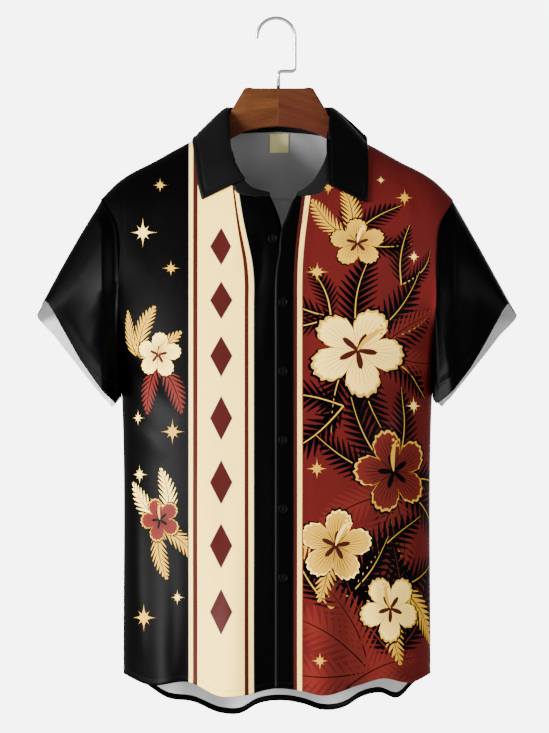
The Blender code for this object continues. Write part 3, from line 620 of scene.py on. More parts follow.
@dataclass(frozen=True)
class CutCloth:
    """Where a point of the hung body lies on the flat cloth and on its print.

    Formula: u is the length round the body's full section from its middle. v is the length up the
    cloth at constant x, summed over short steps. The print's own v is stretched so that its repeat
    stays even, and its stripes are drawn aside near the neck by a drift that fades across.
    """

    torso: Torso
    section_z: float = -560
    steps: int = 28
    # height, number of the repeat counted down from the topmost
    repeat_rows: Rows = ((-930, 8.05), (-757.1, 6), (-672.6, 5), (-592, 4), (-510, 3), (-430.7, 2),
                         (-359.7, 1), (-291.2, 0), (-140, -2.2))
    repeat: float = 84
    # height, shift of the stripes along x
    left_drift: Rows = ((-900, 0), (-420, 0), (-370, 0), (-340, 0), (-310, 1.0), (-280, 3.6),
                        (-250, 7.4), (-227, 10.5), (-190, 14))
    right_drift: Rows = ((-900, 0), (-420, 0), (-365, 0), (-335, 0), (-308, -2.7), (-287, -7.2),
                         (-270, -10.9), (-240, -16.5), (-209, -21.1), (-170, -24))
    drift_level: float = 46
    drift_fade: float = 42

    def across(self, x: Array, face: Face) -> Array:
        """Length round the full section from its middle to this x."""
        turn = np.linspace(-math.pi / 2, math.pi / 2, 721)
        line = self.torso.points(turn, np.full_like(turn, self.section_z), face)[:, :2]
        run = run_length(line)
        run = run - np.interp(0.0, line[:, 0], run)
        beyond = np.maximum(np.abs(x) - line[-1, 0], 0)
        return np.interp(x, line[:, 0], run) + np.sign(x) * beyond

    def up(self, x: Array, z: Array, face: Face) -> Array:
        """Length up the cloth at constant x, from the height of the section."""
        share = np.linspace(0, 1, self.steps + 1).reshape(-1, *([1] * np.ndim(z)))
        heights = self.section_z + share * (z - self.section_z)
        y = self.torso.y(np.broadcast_to(x, heights.shape), heights, face)
        step = np.hypot(np.diff(y, axis=0), np.diff(heights, axis=0)).sum(axis=0)
        return np.sign(z - self.section_z) * step

    def undrifted(self, x: Array, z: Array, side: Side) -> Array:
        """The x that a point of the print would have with its stripes straight, by bisection."""
        shift = curve(z, self.left_drift if side > 0 else self.right_drift)
        base = self.torso.edge(side)[0][1]

        def drawn(at: Array) -> Array:
            """Where the print shows a point whose stripe would be here when straight."""
            inward = np.abs(at - base) - self.drift_level
            return at + shift * (1 - smoothstep(inward / self.drift_fade))

        low, high = x - 60, x + 60
        for _ in range(22):
            middle = (low + high) / 2
            under = drawn(middle) < x
            low, high = np.where(under, middle, low), np.where(under, high, middle)
        return (low + high) / 2

    def maps(self, points: Array, face: Face, side: Side | None = None) -> tuple[Array, Array]:
        """Where points of the body lie on the cloth and on the print.

        Args:
            points: Points of the body.
            face: The face that they lie on.
            side: The side of the opening, which has its own drift of the stripes.

        Returns:
            The (u, v) on the cloth and on the print, in millimetres.
        """
        x, z = points[..., 0], points[..., 2]
        cut = np.stack([self.across(x, face), self.up(x, z, face)], -1)
        straight = x if side is None else self.undrifted(x, z, side)
        heights = -self.repeat * curve(z, self.repeat_rows)
        return cut, np.stack([self.across(straight, face), heights], -1)


# Materials


def operation(name: str, swap: bool = False) -> Callable[[Wire, Value], Wire]:
    """An arithmetic method for wires: a Math node over the wire and another value, or swapped."""

    def method(wire: Wire, other: Value) -> Wire:
        """Add the node."""
        return wire.graph.math(name, *((other, wire) if swap else (wire, other)))

    return method


class Wire:
    """A node's output, with arithmetic that adds Math nodes."""

    __add__ = __radd__ = operation("ADD")
    __mul__ = __rmul__ = operation("MULTIPLY")
    __sub__, __rsub__ = operation("SUBTRACT"), operation("SUBTRACT", swap=True)
    __truediv__, __rtruediv__ = operation("DIVIDE"), operation("DIVIDE", swap=True)
    __pow__ = operation("POWER")
    __gt__, __lt__ = operation("GREATER_THAN"), operation("LESS_THAN")

    def __init__(self, graph: Graph, socket: NodeSocket) -> None:
        """Keep the output with the graph that it belongs to."""
        self.graph, self.socket = graph, socket

    def __abs__(self) -> Wire:
        """The value without its sign."""
        return self.to("ABSOLUTE")

    def to(self, name: str, *others: Value) -> Wire:
        """Another Math operation over this value and others."""
        return self.graph.math(name, self, *others)

    def scaled(self, factor: Value, plus: Value) -> Wire:
        """The value times a factor, plus another value, in one node."""
        return self.to("MULTIPLY_ADD", factor, plus)


class Graph:
    """A node tree with short ways to add and join nodes."""

    def __init__(self, tree: NodeTree) -> None:
        """Start from a tree, which keeps the nodes that it has."""
        self.tree = tree

    def put(self, socket: NodeSocket, value: object) -> None:
        """Set a socket, or link it when the value is another node's output."""
        value = value.value if isinstance(value, Dye) else value
        if isinstance(value, Wire):
            self.tree.links.new(value.socket, socket)
        elif socket.type == "RGBA":
            socket.default_value = (*value, 1.0)
        else:
            socket.default_value = value

    def node(self, kind: str, inputs: Inputs | None = None, **settings: object) -> Node:
        """A new shader node with its settings, and its inputs by name or number."""
        made = self.tree.nodes.new("ShaderNode" + kind)
        for name, value in settings.items():
            setattr(made, name, value)
        for name, value in (inputs or {}).items():
            self.put(made.inputs[name], value)
        return made

    def add(self, kind: str, inputs: Inputs | None = None, out: int = 0,
            **settings: object) -> Wire:
        """One output of a new node."""
        return Wire(self, self.node(kind, inputs, **settings).outputs[out])

    def math(self, name: str, *values: Value) -> Wire:
        """A Math node over one to three values."""
        return self.add("Math", dict(enumerate(values)), operation=name)

    def ramp(self, value: Wire, low: float, high: float) -> Wire:
        """0 below the low value, 1 above the high one and smooth between."""
        return self.add("MapRange", {"Value": value, "From Min": low, "From Max": high},
                        interpolation_type="SMOOTHSTEP", clamp=False)

    def mix(self, share: Value, a: Paint, b: Paint, blend: str = "MIX") -> Wire:
        """A mix of two colours."""
        return self.add("Mix", {0: share, 6: a, 7: b}, 2, data_type="RGBA", blend_type=blend)

    def noise(self, vector: Wire, scale: float, detail: float = 3.0, rough: float = 0.5,
              stretch: Colour | None = None) -> Wire:
        """A noise texture, its space stretched first when asked."""
        if stretch is not None:
            vector = self.add("Mapping", {"Vector": vector, "Scale": stretch})
        return self.add("TexNoise", {"Vector": vector, "Scale": scale, "Detail": detail,
                                     "Roughness": rough})

    def place(self) -> Wire:
        """The object coordinates."""
        return self.add("TexCoord", out=3)

    def split(self, vector: Wire) -> list[Wire]:
        """The three parts of a vector."""
        return [Wire(self, part) for part in self.node("SeparateXYZ", {0: vector}).outputs]

    def group(self, tree: NodeTree, inputs: Inputs) -> dict[str, Wire]:
        """A node group with values for its inputs: its outputs by name."""
        outputs = self.node("Group", inputs, node_tree=tree).outputs
        return {socket.name: Wire(self, socket) for socket in outputs}


class Group(Graph):
    """A node group under construction, its inputs by name."""

    def __init__(self, name: str, inputs: dict[str, float | None]) -> None:
        """Make its inputs: numbers with their defaults, and a vector where the default is None."""
        super().__init__(bpy.data.node_groups.new(name, "ShaderNodeTree"))
        for label, default in inputs.items():
            kind = "NodeSocketVector" if default is None else "NodeSocketFloat"
            socket = self.tree.interface.new_socket(label, in_out="INPUT", socket_type=kind)
            if default is not None:
                socket.default_value = default
        enter = self.tree.nodes.new("NodeGroupInput")
        self.ask = {label: Wire(self, enter.outputs[label]) for label in inputs}

    def placed(self) -> tuple[Wire, Wire]:
        """Across and Up as seen from the motif's middle, turned by Turn."""
        across = self.ask["Across"] - self.ask["Middle Across"]
        up = self.ask["Up"] - self.ask["Middle Up"]
        c, s = self.ask["Turn"].to("COSINE"), self.ask["Turn"].to("SINE")
        return across * c + up * s, up * c - across * s

    def give(self, **results: Wire) -> NodeTree:
        """Name the results as the group's outputs and return its tree."""
        for label in results:
            self.tree.interface.new_socket(label, in_out="OUTPUT", socket_type="NodeSocketFloat")
        leave = self.tree.nodes.new("NodeGroupOutput")
        for label, value in results.items():
            self.put(leave.inputs[label], value)
        return self.tree


class Surface(Graph):
    """The graph of a new material, round its Principled shader."""

    def __init__(self, name: str, gloss: float) -> None:
        """Make the material with the specular level of its face."""
        self.material = bpy.data.materials.new(name)
        self.material.use_nodes = True
        super().__init__(self.material.node_tree)
        self.face = self.tree.nodes["Principled BSDF"]
        self.put(self.face.inputs["Specular IOR Level"], gloss)

    def finished(self, inputs: Inputs, height: Wire | None = None, strength: float = 0.0,
                 distance: float = 0.0) -> Material:
        """The material with the shader's inputs and, from a height, its relief."""
        if height is not None:
            inputs["Normal"] = self.add("Bump", {"Strength": strength, "Distance": distance,
                                                 "Height": height})
        for name, value in inputs.items():
            self.put(self.face.inputs[name], value)
        return self.material


MOTIF_PLACE = dict.fromkeys(("Across", "Up", "Middle Across", "Middle Up", "Turn"), 0.0)
# Half the softness of a printed edge, in metres
CRISP = 0.0002


class Effects:
    """The node groups that more than one material uses, each built once."""

    def __init__(self) -> None:
        """Build every group."""
        self.weave = self._weave()
        self.star = self._star()
        self.hibiscus = self._hibiscus()
        self.palm = self._palm()
        self.lozenge = self._lozenge()

    @staticmethod
    def _weave() -> NodeTree:
        """Plain weave on the cut cloth: crossing threads, uneven yarn and soft crumple."""
        g = Group("plain_weave", {"Cloth": None, "Pitch": 0.0006})
        cloth, pitch = g.ask["Cloth"], g.ask["Pitch"]
        waves = [(part / pitch * math.pi).to("SINE") for part in g.split(cloth)[:2]]
        threads = (waves[0] * waves[1]).scaled(0.5, 0.5)
        yarn = (g.noise(cloth, 60, 2, 0.6, (22.0, 0.6, 1.0))
                + g.noise(cloth, 60, 2, 0.6, (0.6, 22.0, 1.0)))
        height = threads.scaled(0.10, yarn * 0.20)
        return g.give(Height=g.noise(cloth, 14).scaled(1.5, height), Shade=yarn.scaled(0.16, 0.84))

    @staticmethod
    def _star() -> NodeTree:
        """A four-pointed star: where |x| and |y| to the Power sum to less than the Radius to it.

        A Power of 2 is a disc, and one below 1 has hollow sides and sharp points.
        """
        g = Group("star", {**MOTIF_PLACE, "Radius": 0.02, "Power": 0.5})
        x, y = g.placed()
        power = g.ask["Power"]
        reach = (abs(x) ** power + abs(y) ** power) ** (1.0 / power)
        return g.give(Mask=g.ramp(g.ask["Radius"] - reach, -1.5 * CRISP, 1.5 * CRISP))

    @staticmethod
    def _hibiscus() -> NodeTree:
        """A ruffled five-petalled flower.

        The outline's radius is a low power of the cosine of five half turns, with two small
        ripples. Line is the split between petals and the veins, which thin outwards. Throat is a
        star round the middle, and Rim is a band inside the outline.
        """
        g = Group("hibiscus", {**MOTIF_PLACE, "Radius": 0.04})
        x, y = g.placed()
        far, angle = (x * x + y * y).to("SQRT"), y.to("ARCTAN2", x)
        swing = abs((angle * 2.5).to("COSINE"))
        ripple = (angle * 60.0).to("SINE").scaled(0.010, (angle * 35.0).to("SINE") * 0.022)
        outline = ((swing ** 0.45).scaled(0.62, 0.36) + ripple) * g.ask["Radius"]
        within = far / outline
        inside = g.ramp(outline - far, -CRISP, CRISP)
        split = 1.0 - g.ramp(far * swing, 0.0007, 0.0016)
        veins = (angle * 45.0).to("SINE") - within.scaled(0.75, 0.42)
        vein = g.ramp(veins, -0.04, 0.04) * g.ramp(within, 0.10, 0.22)
        star = (swing ** 3.0).scaled(0.30, 0.12)
        return g.give(Mask=inside, Line=split.to("MAXIMUM", vein) * inside,
                      Throat=g.ramp(star - within, -0.015, 0.015),
                      Rim=g.ramp(within, 0.925, 0.945) * inside)

    @staticmethod
    def _palm() -> NodeTree:
        """A palm leaf along its own X from the middle: a bowed rib with leaflets swept forward.

        The half width is a half sine of the run along the rib. Leaflets repeat along the run and
        slant with the distance from the rib, and the gaps between them widen outwards by Gap.
        """
        g = Group("palm_leaf", {**MOTIF_PLACE, "Length": 0.08, "Width": 0.02, "Bow": 0.01,
                                "Leaflets": 12.0, "Sweep": 2.2, "Gap": 0.9})
        x, y = g.placed()
        run = x / g.ask["Length"]
        clipped = run.to("MAXIMUM", 0.0).to("MINIMUM", 1.0)
        arch = (clipped * math.pi).to("SINE")
        off = abs(y - arch * g.ask["Bow"])
        wide = arch ** 0.62 * g.ask["Width"]
        share = off / wide.to("MAXIMUM", 0.0002)
        slant = off / g.ask["Width"] * g.ask["Sweep"]
        phase = (run * g.ask["Leaflets"] - slant).to("FRACT")
        half = (1.06 - share * g.ask["Gap"]) * 0.5
        leaflet = g.ramp(half - abs(phase - 0.5), -0.04, 0.04)
        inside = g.ramp(wide - off, -CRISP, CRISP)
        on = (run > 0.0) * (run < 1.0)
        rib = g.ramp(clipped.scaled(-0.0007, 0.0010) - off, -CRISP, CRISP)
        return g.give(Mask=inside * leaflet * on, Rib=rib * on)

    @staticmethod
    def _lozenge() -> NodeTree:
        """A column of diamonds, one in every Repeat of height, centred on Column."""
        g = Group("lozenges", {"Across": 0.0, "Up": 0.0, "Column": 0.0, "Repeat": 0.084,
                               "Half Width": 0.0145, "Half Height": 0.0292, "Low": -0.55,
                               "High": 0.042})
        up, repeat = g.ask["Up"], g.ask["Repeat"]
        half = repeat * 0.5
        lifted = up + half
        cell = lifted - repeat * (lifted / repeat).to("FLOOR")
        total = (abs(g.ask["Across"] - g.ask["Column"]) / g.ask["Half Width"]
                 + abs(cell - half) / g.ask["Half Height"])
        on = (up > g.ask["Low"]) * (up < g.ask["High"])
        return g.give(Mask=(1.0 - g.ramp(total, 0.985, 1.015)) * on)


class Dye(Enum):
    """The dyes of the cloth, as linear colours, with tones of painted shade and painted light among
    them.
    """

    BLACK = (0.00030, 0.00029, 0.00028)
    CREAM = (0.88, 0.60, 0.130)
    EDGE = (0.17, 0.165, 0.15)
    RED = (0.036, 0.0054, 0.0048)
    PANEL_RED = (0.070, 0.0070, 0.0064)
    BRIGHT_RED = (0.095, 0.0110, 0.0080)
    GOLD = (0.50, 0.27, 0.022)
    LABEL = (0.92, 0.84, 0.42)
    PALE = (0.42, 0.42, 0.425)
    # painted shade: greys of the unprinted side high up inside the shirt, darkest where a lamp
    # falls on it
    SHADED = (0.21, 0.21, 0.214)
    NECK = (0.40, 0.40, 0.405)
    PAINTED_SHADE_ON_LIT = (0.145, 0.145, 0.148)
    DIM = (0.185, 0.185, 0.188)
    # painted light: black a little lighter where the collar faces the lamps, lighter still on the
    # stand's right
    PAINTED_LIGHT_BLACK = (0.0020, 0.0020, 0.0020)
    PAINTED_LIGHT_GREY = (0.0066, 0.0066, 0.0068)


Paint = Union[Dye, Colour, Wire]
BLACK, GOLD, CREAM, RED, BRIGHT = Dye.BLACK, Dye.GOLD, Dye.CREAM, Dye.RED, Dye.BRIGHT_RED


@dataclass(frozen=True)
class Cloth:
    """A woven cloth of one dye, with the gloss of its face."""

    name: str
    dye: Dye
    rough: float = 0.40
    gloss: float = 0.024
    pitch: float = 0.0006
    relief: float = 0.0006

    def colour(self, g: Surface, effects: Effects) -> Paint:
        """The colour below the weave."""
        return self.dye

    def make(self, effects: Effects) -> Material:
        """The cloth: its colour with the weave's shade, roughness and relief."""
        g = Surface(self.name, self.gloss)
        colour = self.colour(g, effects)
        weave = g.group(effects.weave, {"Cloth": g.add("UVMap", uv_map="cut"), "Pitch": self.pitch})
        shade = g.add("CombineColor", dict.fromkeys(range(3), weave["Shade"]))
        return g.finished({"Base Color": g.mix(1.0, colour, shade, "MULTIPLY"),
                           "Roughness": weave["Shade"].scaled(-0.2, self.rough + 0.18)},
                          weave["Height"], 0.5, self.relief)


@dataclass(frozen=True)
class PaintedShadeLining(Cloth):
    """The unprinted side of the body's cloth, with painted shade greying it high up inside the
    shirt.
    """

    # heights in metres over which the painted shade comes in
    low: float = -0.70
    high: float = -0.42
    # the painted shade high up inside the shirt
    painted_shade_high: Dye = Dye.SHADED
    # painted shade high up on the viewer's right and left, and the lines across which it comes in
    painted_shade_beside: Dye = Dye.SHADED
    aside: Dye = Dye.SHADED
    aside_from: float = -0.045
    aside_to: float = 0.012
    slant: tuple[float, float] = (0.854, 0.522)
    beside_from: float = -0.074
    beside_to: float = -0.040

    def colour(self, g: Surface, effects: Effects) -> Paint:
        """Painted shade: the change of tone by height and, high up, from left to right."""
        x, _, z = g.split(g.place())
        line = x.scaled(self.slant[0], z * self.slant[1])
        upper = g.mix(g.ramp(x, self.aside_from, self.aside_to), self.aside, self.painted_shade_high)
        upper = g.mix(g.ramp(line, self.beside_from, self.beside_to), upper, self.painted_shade_beside)
        return g.mix(g.ramp(z, self.low, self.high), self.dye, upper)


@dataclass(frozen=True)
class PaintedLightHalved(Cloth):
    """A cloth with painted light: its colour is a little lighter on the viewer's left or right, on
    the side where the lamps fall.
    """

    other: Dye = BLACK
    reach: float = 0.012

    def colour(self, g: Surface, effects: Effects) -> Paint:
        """The two tones of painted light, which change over within the reach of the middle."""
        share = g.ramp(g.split(g.place())[0], -self.reach, self.reach)
        return g.mix(share, self.dye, self.other)


@dataclass(frozen=True)
class Pen:
    """What a motif is drawn with: the surface, its groups and where the print is."""

    g: Surface
    effects: Effects
    across: Wire
    up: Wire

    def lay(self, motif: NodeTree, under: Paint, u: float, v: float, inks: dict[str, Dye],
            **inputs: float) -> Paint:
        """Lay a motif's masks, each in its dye, over what is drawn so far.

        Args:
            motif: The motif's node group.
            under: What is drawn so far.
            u: The motif's middle across the print, in mm.
            v: The motif's middle up the print, in mm.
            inks: The dye of each of the group's masks.
            **inputs: The group's other inputs.

        Returns:
            The colour with the motif on it.
        """
        masks = self.g.group(motif, {"Across": self.across, "Up": self.up,
                                     "Middle Across": u * MM, "Middle Up": v * MM, **inputs})
        for mask, dye in inks.items():
            under = self.g.mix(masks[mask], under, dye)
        return under


@dataclass(frozen=True)
class Star:
    """A star of four long rays and four short ones, at a place on the print in mm."""

    u: float
    v: float
    size: float
    dye: Dye
    power: float = 0.42

    def draw(self, pen: Pen, under: Paint) -> Paint:
        """Lay the star over what is drawn so far."""
        for share, turn, power in ((0.62, 45.0, self.power + 0.08), (1.0, 0.0, self.power)):
            under = pen.lay(pen.effects.star, under, self.u, self.v, {"Mask": self.dye},
                            Turn=math.radians(turn), Radius=self.size * share * MM, Power=power)
        return under


@dataclass(frozen=True)
class Palm:
    """A fan of palm leaves from one point of the print."""

    u: float
    v: float
    size: float
    turn: float
    dye: Dye
    rib: Dye
    spread: tuple[float, ...] = (0.0,)
    width: float = 0.20
    leaflets: float = 11.0
    gap: float = 0.9

    def draw(self, pen: Pen, under: Paint) -> Paint:
        """Lay the leaves over what is drawn so far."""
        for off in self.spread:
            long = self.size * (1 - 0.0025 * abs(off)) * MM
            under = pen.lay(pen.effects.palm, under, self.u, self.v,
                            {"Mask": self.dye, "Rib": self.rib},
                            Turn=math.radians(self.turn + off), Length=long,
                            Width=long * self.width, Bow=long * (0.08 if off >= 0 else -0.08),
                            Leaflets=self.leaflets, Gap=self.gap)
        return under


@dataclass(frozen=True)
class Hibiscus:
    """A hibiscus flower with its veins, throat and stamen."""

    u: float
    v: float
    size: float
    turn: float
    petal: Dye
    rim: Dye
    throat: Dye = BLACK
    line: Dye = RED
    stamen: Dye = GOLD

    def draw(self, pen: Pen, under: Paint) -> Paint:
        """Lay the flower over what is drawn so far, on a black shadow a little larger."""
        turn, long = math.radians(self.turn), self.size * MM
        bloom = pen.effects.hibiscus
        under = pen.lay(bloom, under, self.u, self.v, {"Mask": BLACK}, Turn=turn,
                        Radius=long * 1.07)
        inks = {"Mask": self.petal, "Line": self.line, "Rim": self.rim, "Throat": self.throat}
        under = pen.lay(bloom, under, self.u, self.v, inks, Turn=turn, Radius=long)
        ink = {"Mask": self.stamen}
        way = turn + 0.9
        under = pen.lay(pen.effects.palm, under, self.u, self.v, ink, Turn=way,
                        Length=long * 0.72, Width=long * 0.055, Bow=long * 0.05, Gap=0.0)
        for out, aside in ((0.60, 0.10), (0.70, -0.02), (0.62, -0.10), (0.74, 0.09)):
            u = self.u + self.size * out * math.cos(way + aside)
            v = self.v + self.size * out * math.sin(way + aside)
            under = pen.lay(pen.effects.star, under, u, v, ink, Power=2.0, Radius=long * 0.035)
        return under


@dataclass(frozen=True)
class Printed(Cloth):
    """A printed cloth: upright stripes, a column of diamonds and scattered motifs."""

    # (position of its left side in mm, dye) of each stripe after the first, which fills the left
    stripes: tuple[tuple[float, Dye], ...] = ()
    diamonds: float | None = None
    motifs: tuple[Star | Palm | Hibiscus, ...] = ()
    motif_range: tuple[float, float] = (-400, 400)
    soft: float = 0.25
    blend: float = 0.7

    def colour(self, g: Surface, effects: Effects) -> Paint:
        """The print; dye that bleeds a little greys the edge between cream and black."""
        u, v, _ = g.split(g.add("UVMap", uv_map="print"))
        before = self.stripes[0][1]
        colour: Paint = before
        for position, dye in self.stripes[1:]:
            steps = [(position, dye)]
            if {before, dye} == {BLACK, CREAM}:
                start = position - (self.blend if dye is CREAM else 0)
                steps = [(start, Dye.EDGE), (start + self.blend, dye)]
            for edge, ink in steps:
                mask = g.ramp(u, (edge - self.soft) * MM, (edge + self.soft) * MM)
                colour = g.mix(mask, colour, ink)
            before = dye
        if self.diamonds is not None:
            for grow, dye in ((1.03, Dye.EDGE), (0.985, RED)):
                sizes = {"Half Width": 0.0145 * grow, "Half Height": 0.0292 * grow}
                mask = g.group(effects.lozenge, {"Across": u, "Up": v,
                                                 "Column": self.diamonds * MM, **sizes})
                colour = g.mix(mask["Mask"], colour, dye)
        first, last = self.motif_range
        field = (u > first * MM) * (u < last * MM)
        drawn, pen = colour, Pen(g, effects, u, v)
        for motif in self.motifs:
            drawn = motif.draw(pen, drawn)
        return g.mix(field, colour, drawn)


@dataclass(frozen=True)
class Speckled:
    """A finish whose colour and roughness swing with a fine noise.

    The roughness is the noise times the first number, plus the second. The relief is the strength
    and distance of a bump by the same noise.
    """

    name: str
    dark: Colour
    light: Colour
    scale: float
    rough: tuple[float, float]
    detail: float = 2.0
    coarse: float = 0.5
    gloss: float = 0.5
    metallic: float = 0.0
    relief: tuple[float, float] | None = None

    def make(self) -> Material:
        """The finish."""
        g = Surface(self.name, self.gloss)
        speck = g.noise(g.place(), self.scale, self.detail, self.coarse)
        inputs = {"Base Color": g.mix(speck, self.dark, self.light), "Metallic": self.metallic,
                  "Roughness": speck.scaled(*self.rough)}
        return g.finished(inputs, speck if self.relief else None, *(self.relief or ()))


BUTTON_PLASTIC = Speckled("button_plastic", (0.0007,) * 3, (0.0022, 0.0022, 0.0021), 900,
                          (0.2, 0.22), gloss=0.035, relief=(0.2, 0.00005))
DRAWN_STEEL = Speckled("drawn_steel", (0.55, 0.55, 0.56), (0.40, 0.40, 0.41), 500, (0.22, 0.16),
                       detail=3, coarse=0.6, metallic=1.0)
BLACK_THREAD = Speckled("black_thread", (0.0050,) * 3, (0.0080,) * 3, 2600, (0.3, 0.45), gloss=0.1)
CREAM_THREAD = Speckled("cream_thread", (0.5, 0.4, 0.2), (0.8, 0.64, 0.32), 2600, (0.3, 0.45),
                        gloss=0.1)
PALE_FLOOR = Speckled("pale_floor", (0.80,) * 3, (0.86,) * 3, 3, (0.0, 0.9), detail=3)


@dataclass(frozen=True)
class Lacquered:
    """Mahogany boards under lacquer, joined in the middle, each half with its own grain."""

    name: str = "lacquered_mahogany"
    joint_x: float = 2.6
    dark: Colour = (0.031, 0.0093, 0.0033)
    light: Colour = (0.080, 0.0290, 0.0092)
    red: Colour = (0.038, 0.0074, 0.0054)
    glue: Colour = (0.085, 0.036, 0.018)

    def half(self, g: Surface, tilt: float, shift: float, streaks: float) -> Wire:
        """The grain of one half: long streaks along a tilted board, with fine pores."""
        at = g.add("Mapping", {"Vector": g.place(), "Rotation": (0.0, tilt, 0.0),
                               "Location": (shift, 0.0, shift)})
        long = g.noise(at, 34, 5, 0.65, (0.35, 1.0, streaks))
        return long * 0.72 + g.noise(at, 300, 4, 0.8, (0.25, 1.0, 2.4)) * 0.28

    def make(self) -> Material:
        """The wood: grain from dark to light, redder beyond the joint and low down."""
        g = Surface(self.name, 0.04)
        x, _, z = g.split(g.place())
        beyond = x > self.joint_x * MM
        grain = (self.half(g, -0.28, 1.7, 4.2) * beyond
                 + self.half(g, 0.10, 0.3, 3.0) * (1.0 - beyond))
        colour = g.mix(g.ramp(grain, 0.28, 0.74), self.dark, self.light)
        colour = g.mix(beyond * 0.5, colour, self.red)
        colour = g.mix(g.ramp(z, -0.112, -0.150) * 0.55, colour, self.red)
        seam = 1.0 - g.ramp(abs(x - self.joint_x * MM), 0.0001, 0.0006)
        inputs = {"Base Color": g.mix(seam * 0.45, colour, self.glue),
                  "Roughness": grain.scaled(0.25, 0.30), "Coat Weight": 0.02,
                  "Coat Roughness": 0.25}
        return g.finished(inputs, grain, 0.15, 0.0003)


# Sewing


@dataclass(frozen=True)
class Stitches:
    """A row of machine stitches: short bowed threads, each a closed four-sided spindle.

    Formula: a stitch's points lie on rings round a chord of the seam line. The rings' distance from
    the cloth is a half sine of the place along the chord, so that both ends dip into the cloth.
    """

    pitch: float = 3.0
    long: float = 2.3
    radius: float = 0.26
    bow: float = 0.30
    sunk: float = 0.1

    def build(self, line: Array, normals: Array, lift: float) -> tuple[Array, Array]:
        """Vertices and quads of all stitches along a line.

        Args:
            line: Points of the seam line.
            normals: The cloth's unit normals there.
            lift: Distance of the cloth's face from the line.

        Returns:
            The vertices and the quads.
        """
        run = run_length(line)
        count = max(1, int(run[-1] / self.pitch))
        centre = (np.arange(count) + 0.5) * run[-1] / count
        at = np.linspace(-0.5, 0.5, 5)
        where = np.clip(centre[:, None] + at * self.long, 0, run[-1])
        points = np.stack([np.interp(where, run, c) for c in line.T], -1)
        n = unit(np.stack([np.interp(where, run, c) for c in normals.T], -1))
        along = unit(np.gradient(points, axis=1))
        side = unit(np.cross(along, n))
        height = lift + self.bow * np.cos(math.pi * at) - self.sunk
        thick = self.radius * np.array([0.15, 0.85, 1.0, 0.85, 0.15])
        turn = np.radians([45, 135, 225, 315])
        ring = side[:, :, None] * np.cos(turn)[:, None] + n[:, :, None] * np.sin(turn)[:, None]
        vertices = (points + n * height[:, None])[:, :, None] + ring * thick[:, None, None]
        index = np.arange(count * 20).reshape(count, 5, 4)
        loop = np.concatenate([index, index[:, :, :1]], axis=2)
        a, b = loop[:, :-1, :-1], loop[:, :-1, 1:]
        c, d = loop[:, 1:, 1:], loop[:, 1:, :-1]
        sides = np.stack([a, d, c, b], -1).reshape(-1, 4)
        caps = np.concatenate([index[:, 0], index[:, -1, ::-1]])
        return vertices.reshape(-1, 3), np.concatenate([sides, caps])


def sew(name: str, seams: Sequence[Seam], finish: Material, style: Stitches = Stitches()) -> Object:
    """One object that holds every stitch of several seams."""
    vertices, faces, start = [], [], 0
    for seam in seams:
        v, f = style.build(seam.line, seam.normals, seam.lift)
        vertices.append(v)
        faces.append(f + start)
        start += len(v)
    return mesh_object(name, np.concatenate(vertices), np.concatenate(faces), [finish])


def patch(bottom: Array, top: Array, left: Array, right: Array, s: Array, t: Array,
          fade: float) -> Array:
    """A sheet filled in from four edge curves.

    Formula: straight lines from bottom to top, plus the left edge's bow times (1 - s) to the fade,
    plus the right edge's bow times s.

    Args:
        bottom, top: The lower and the upper edge, by s.
        left, right: The edges at the two sides, by t.
        s, t: The shares across and up at which the edges are given.
        fade: How soon the left edge's bow fades.

    Returns:
        The sheet, its rows by t and its columns by s.
    """
    s, t = s[None, :, None], t[:, None, None]
    left_bow = left[:, None] - ((1 - t) * left[0] + t * left[-1])
    right_bow = right[:, None] - ((1 - t) * right[0] + t * right[-1])
    return (1 - t) * bottom[None] + t * top[None] + (1 - s) ** fade * left_bow + s * right_bow


NECK_STATIONS = (0, 0.6, 1.2, 1.7, 2.1, 2.5, 3, 3.6, 4.4, 5.3, 6.2, 7, 7.6, 8)


def neck_stations(per_step: int) -> Array:
    """Stations round the front neck, more of them near the front edge."""
    index = np.arange(len(NECK_STATIONS))
    fine = np.linspace(0, index[-1], index[-1] * per_step + 1)
    return np.interp(fine, index, NECK_STATIONS)


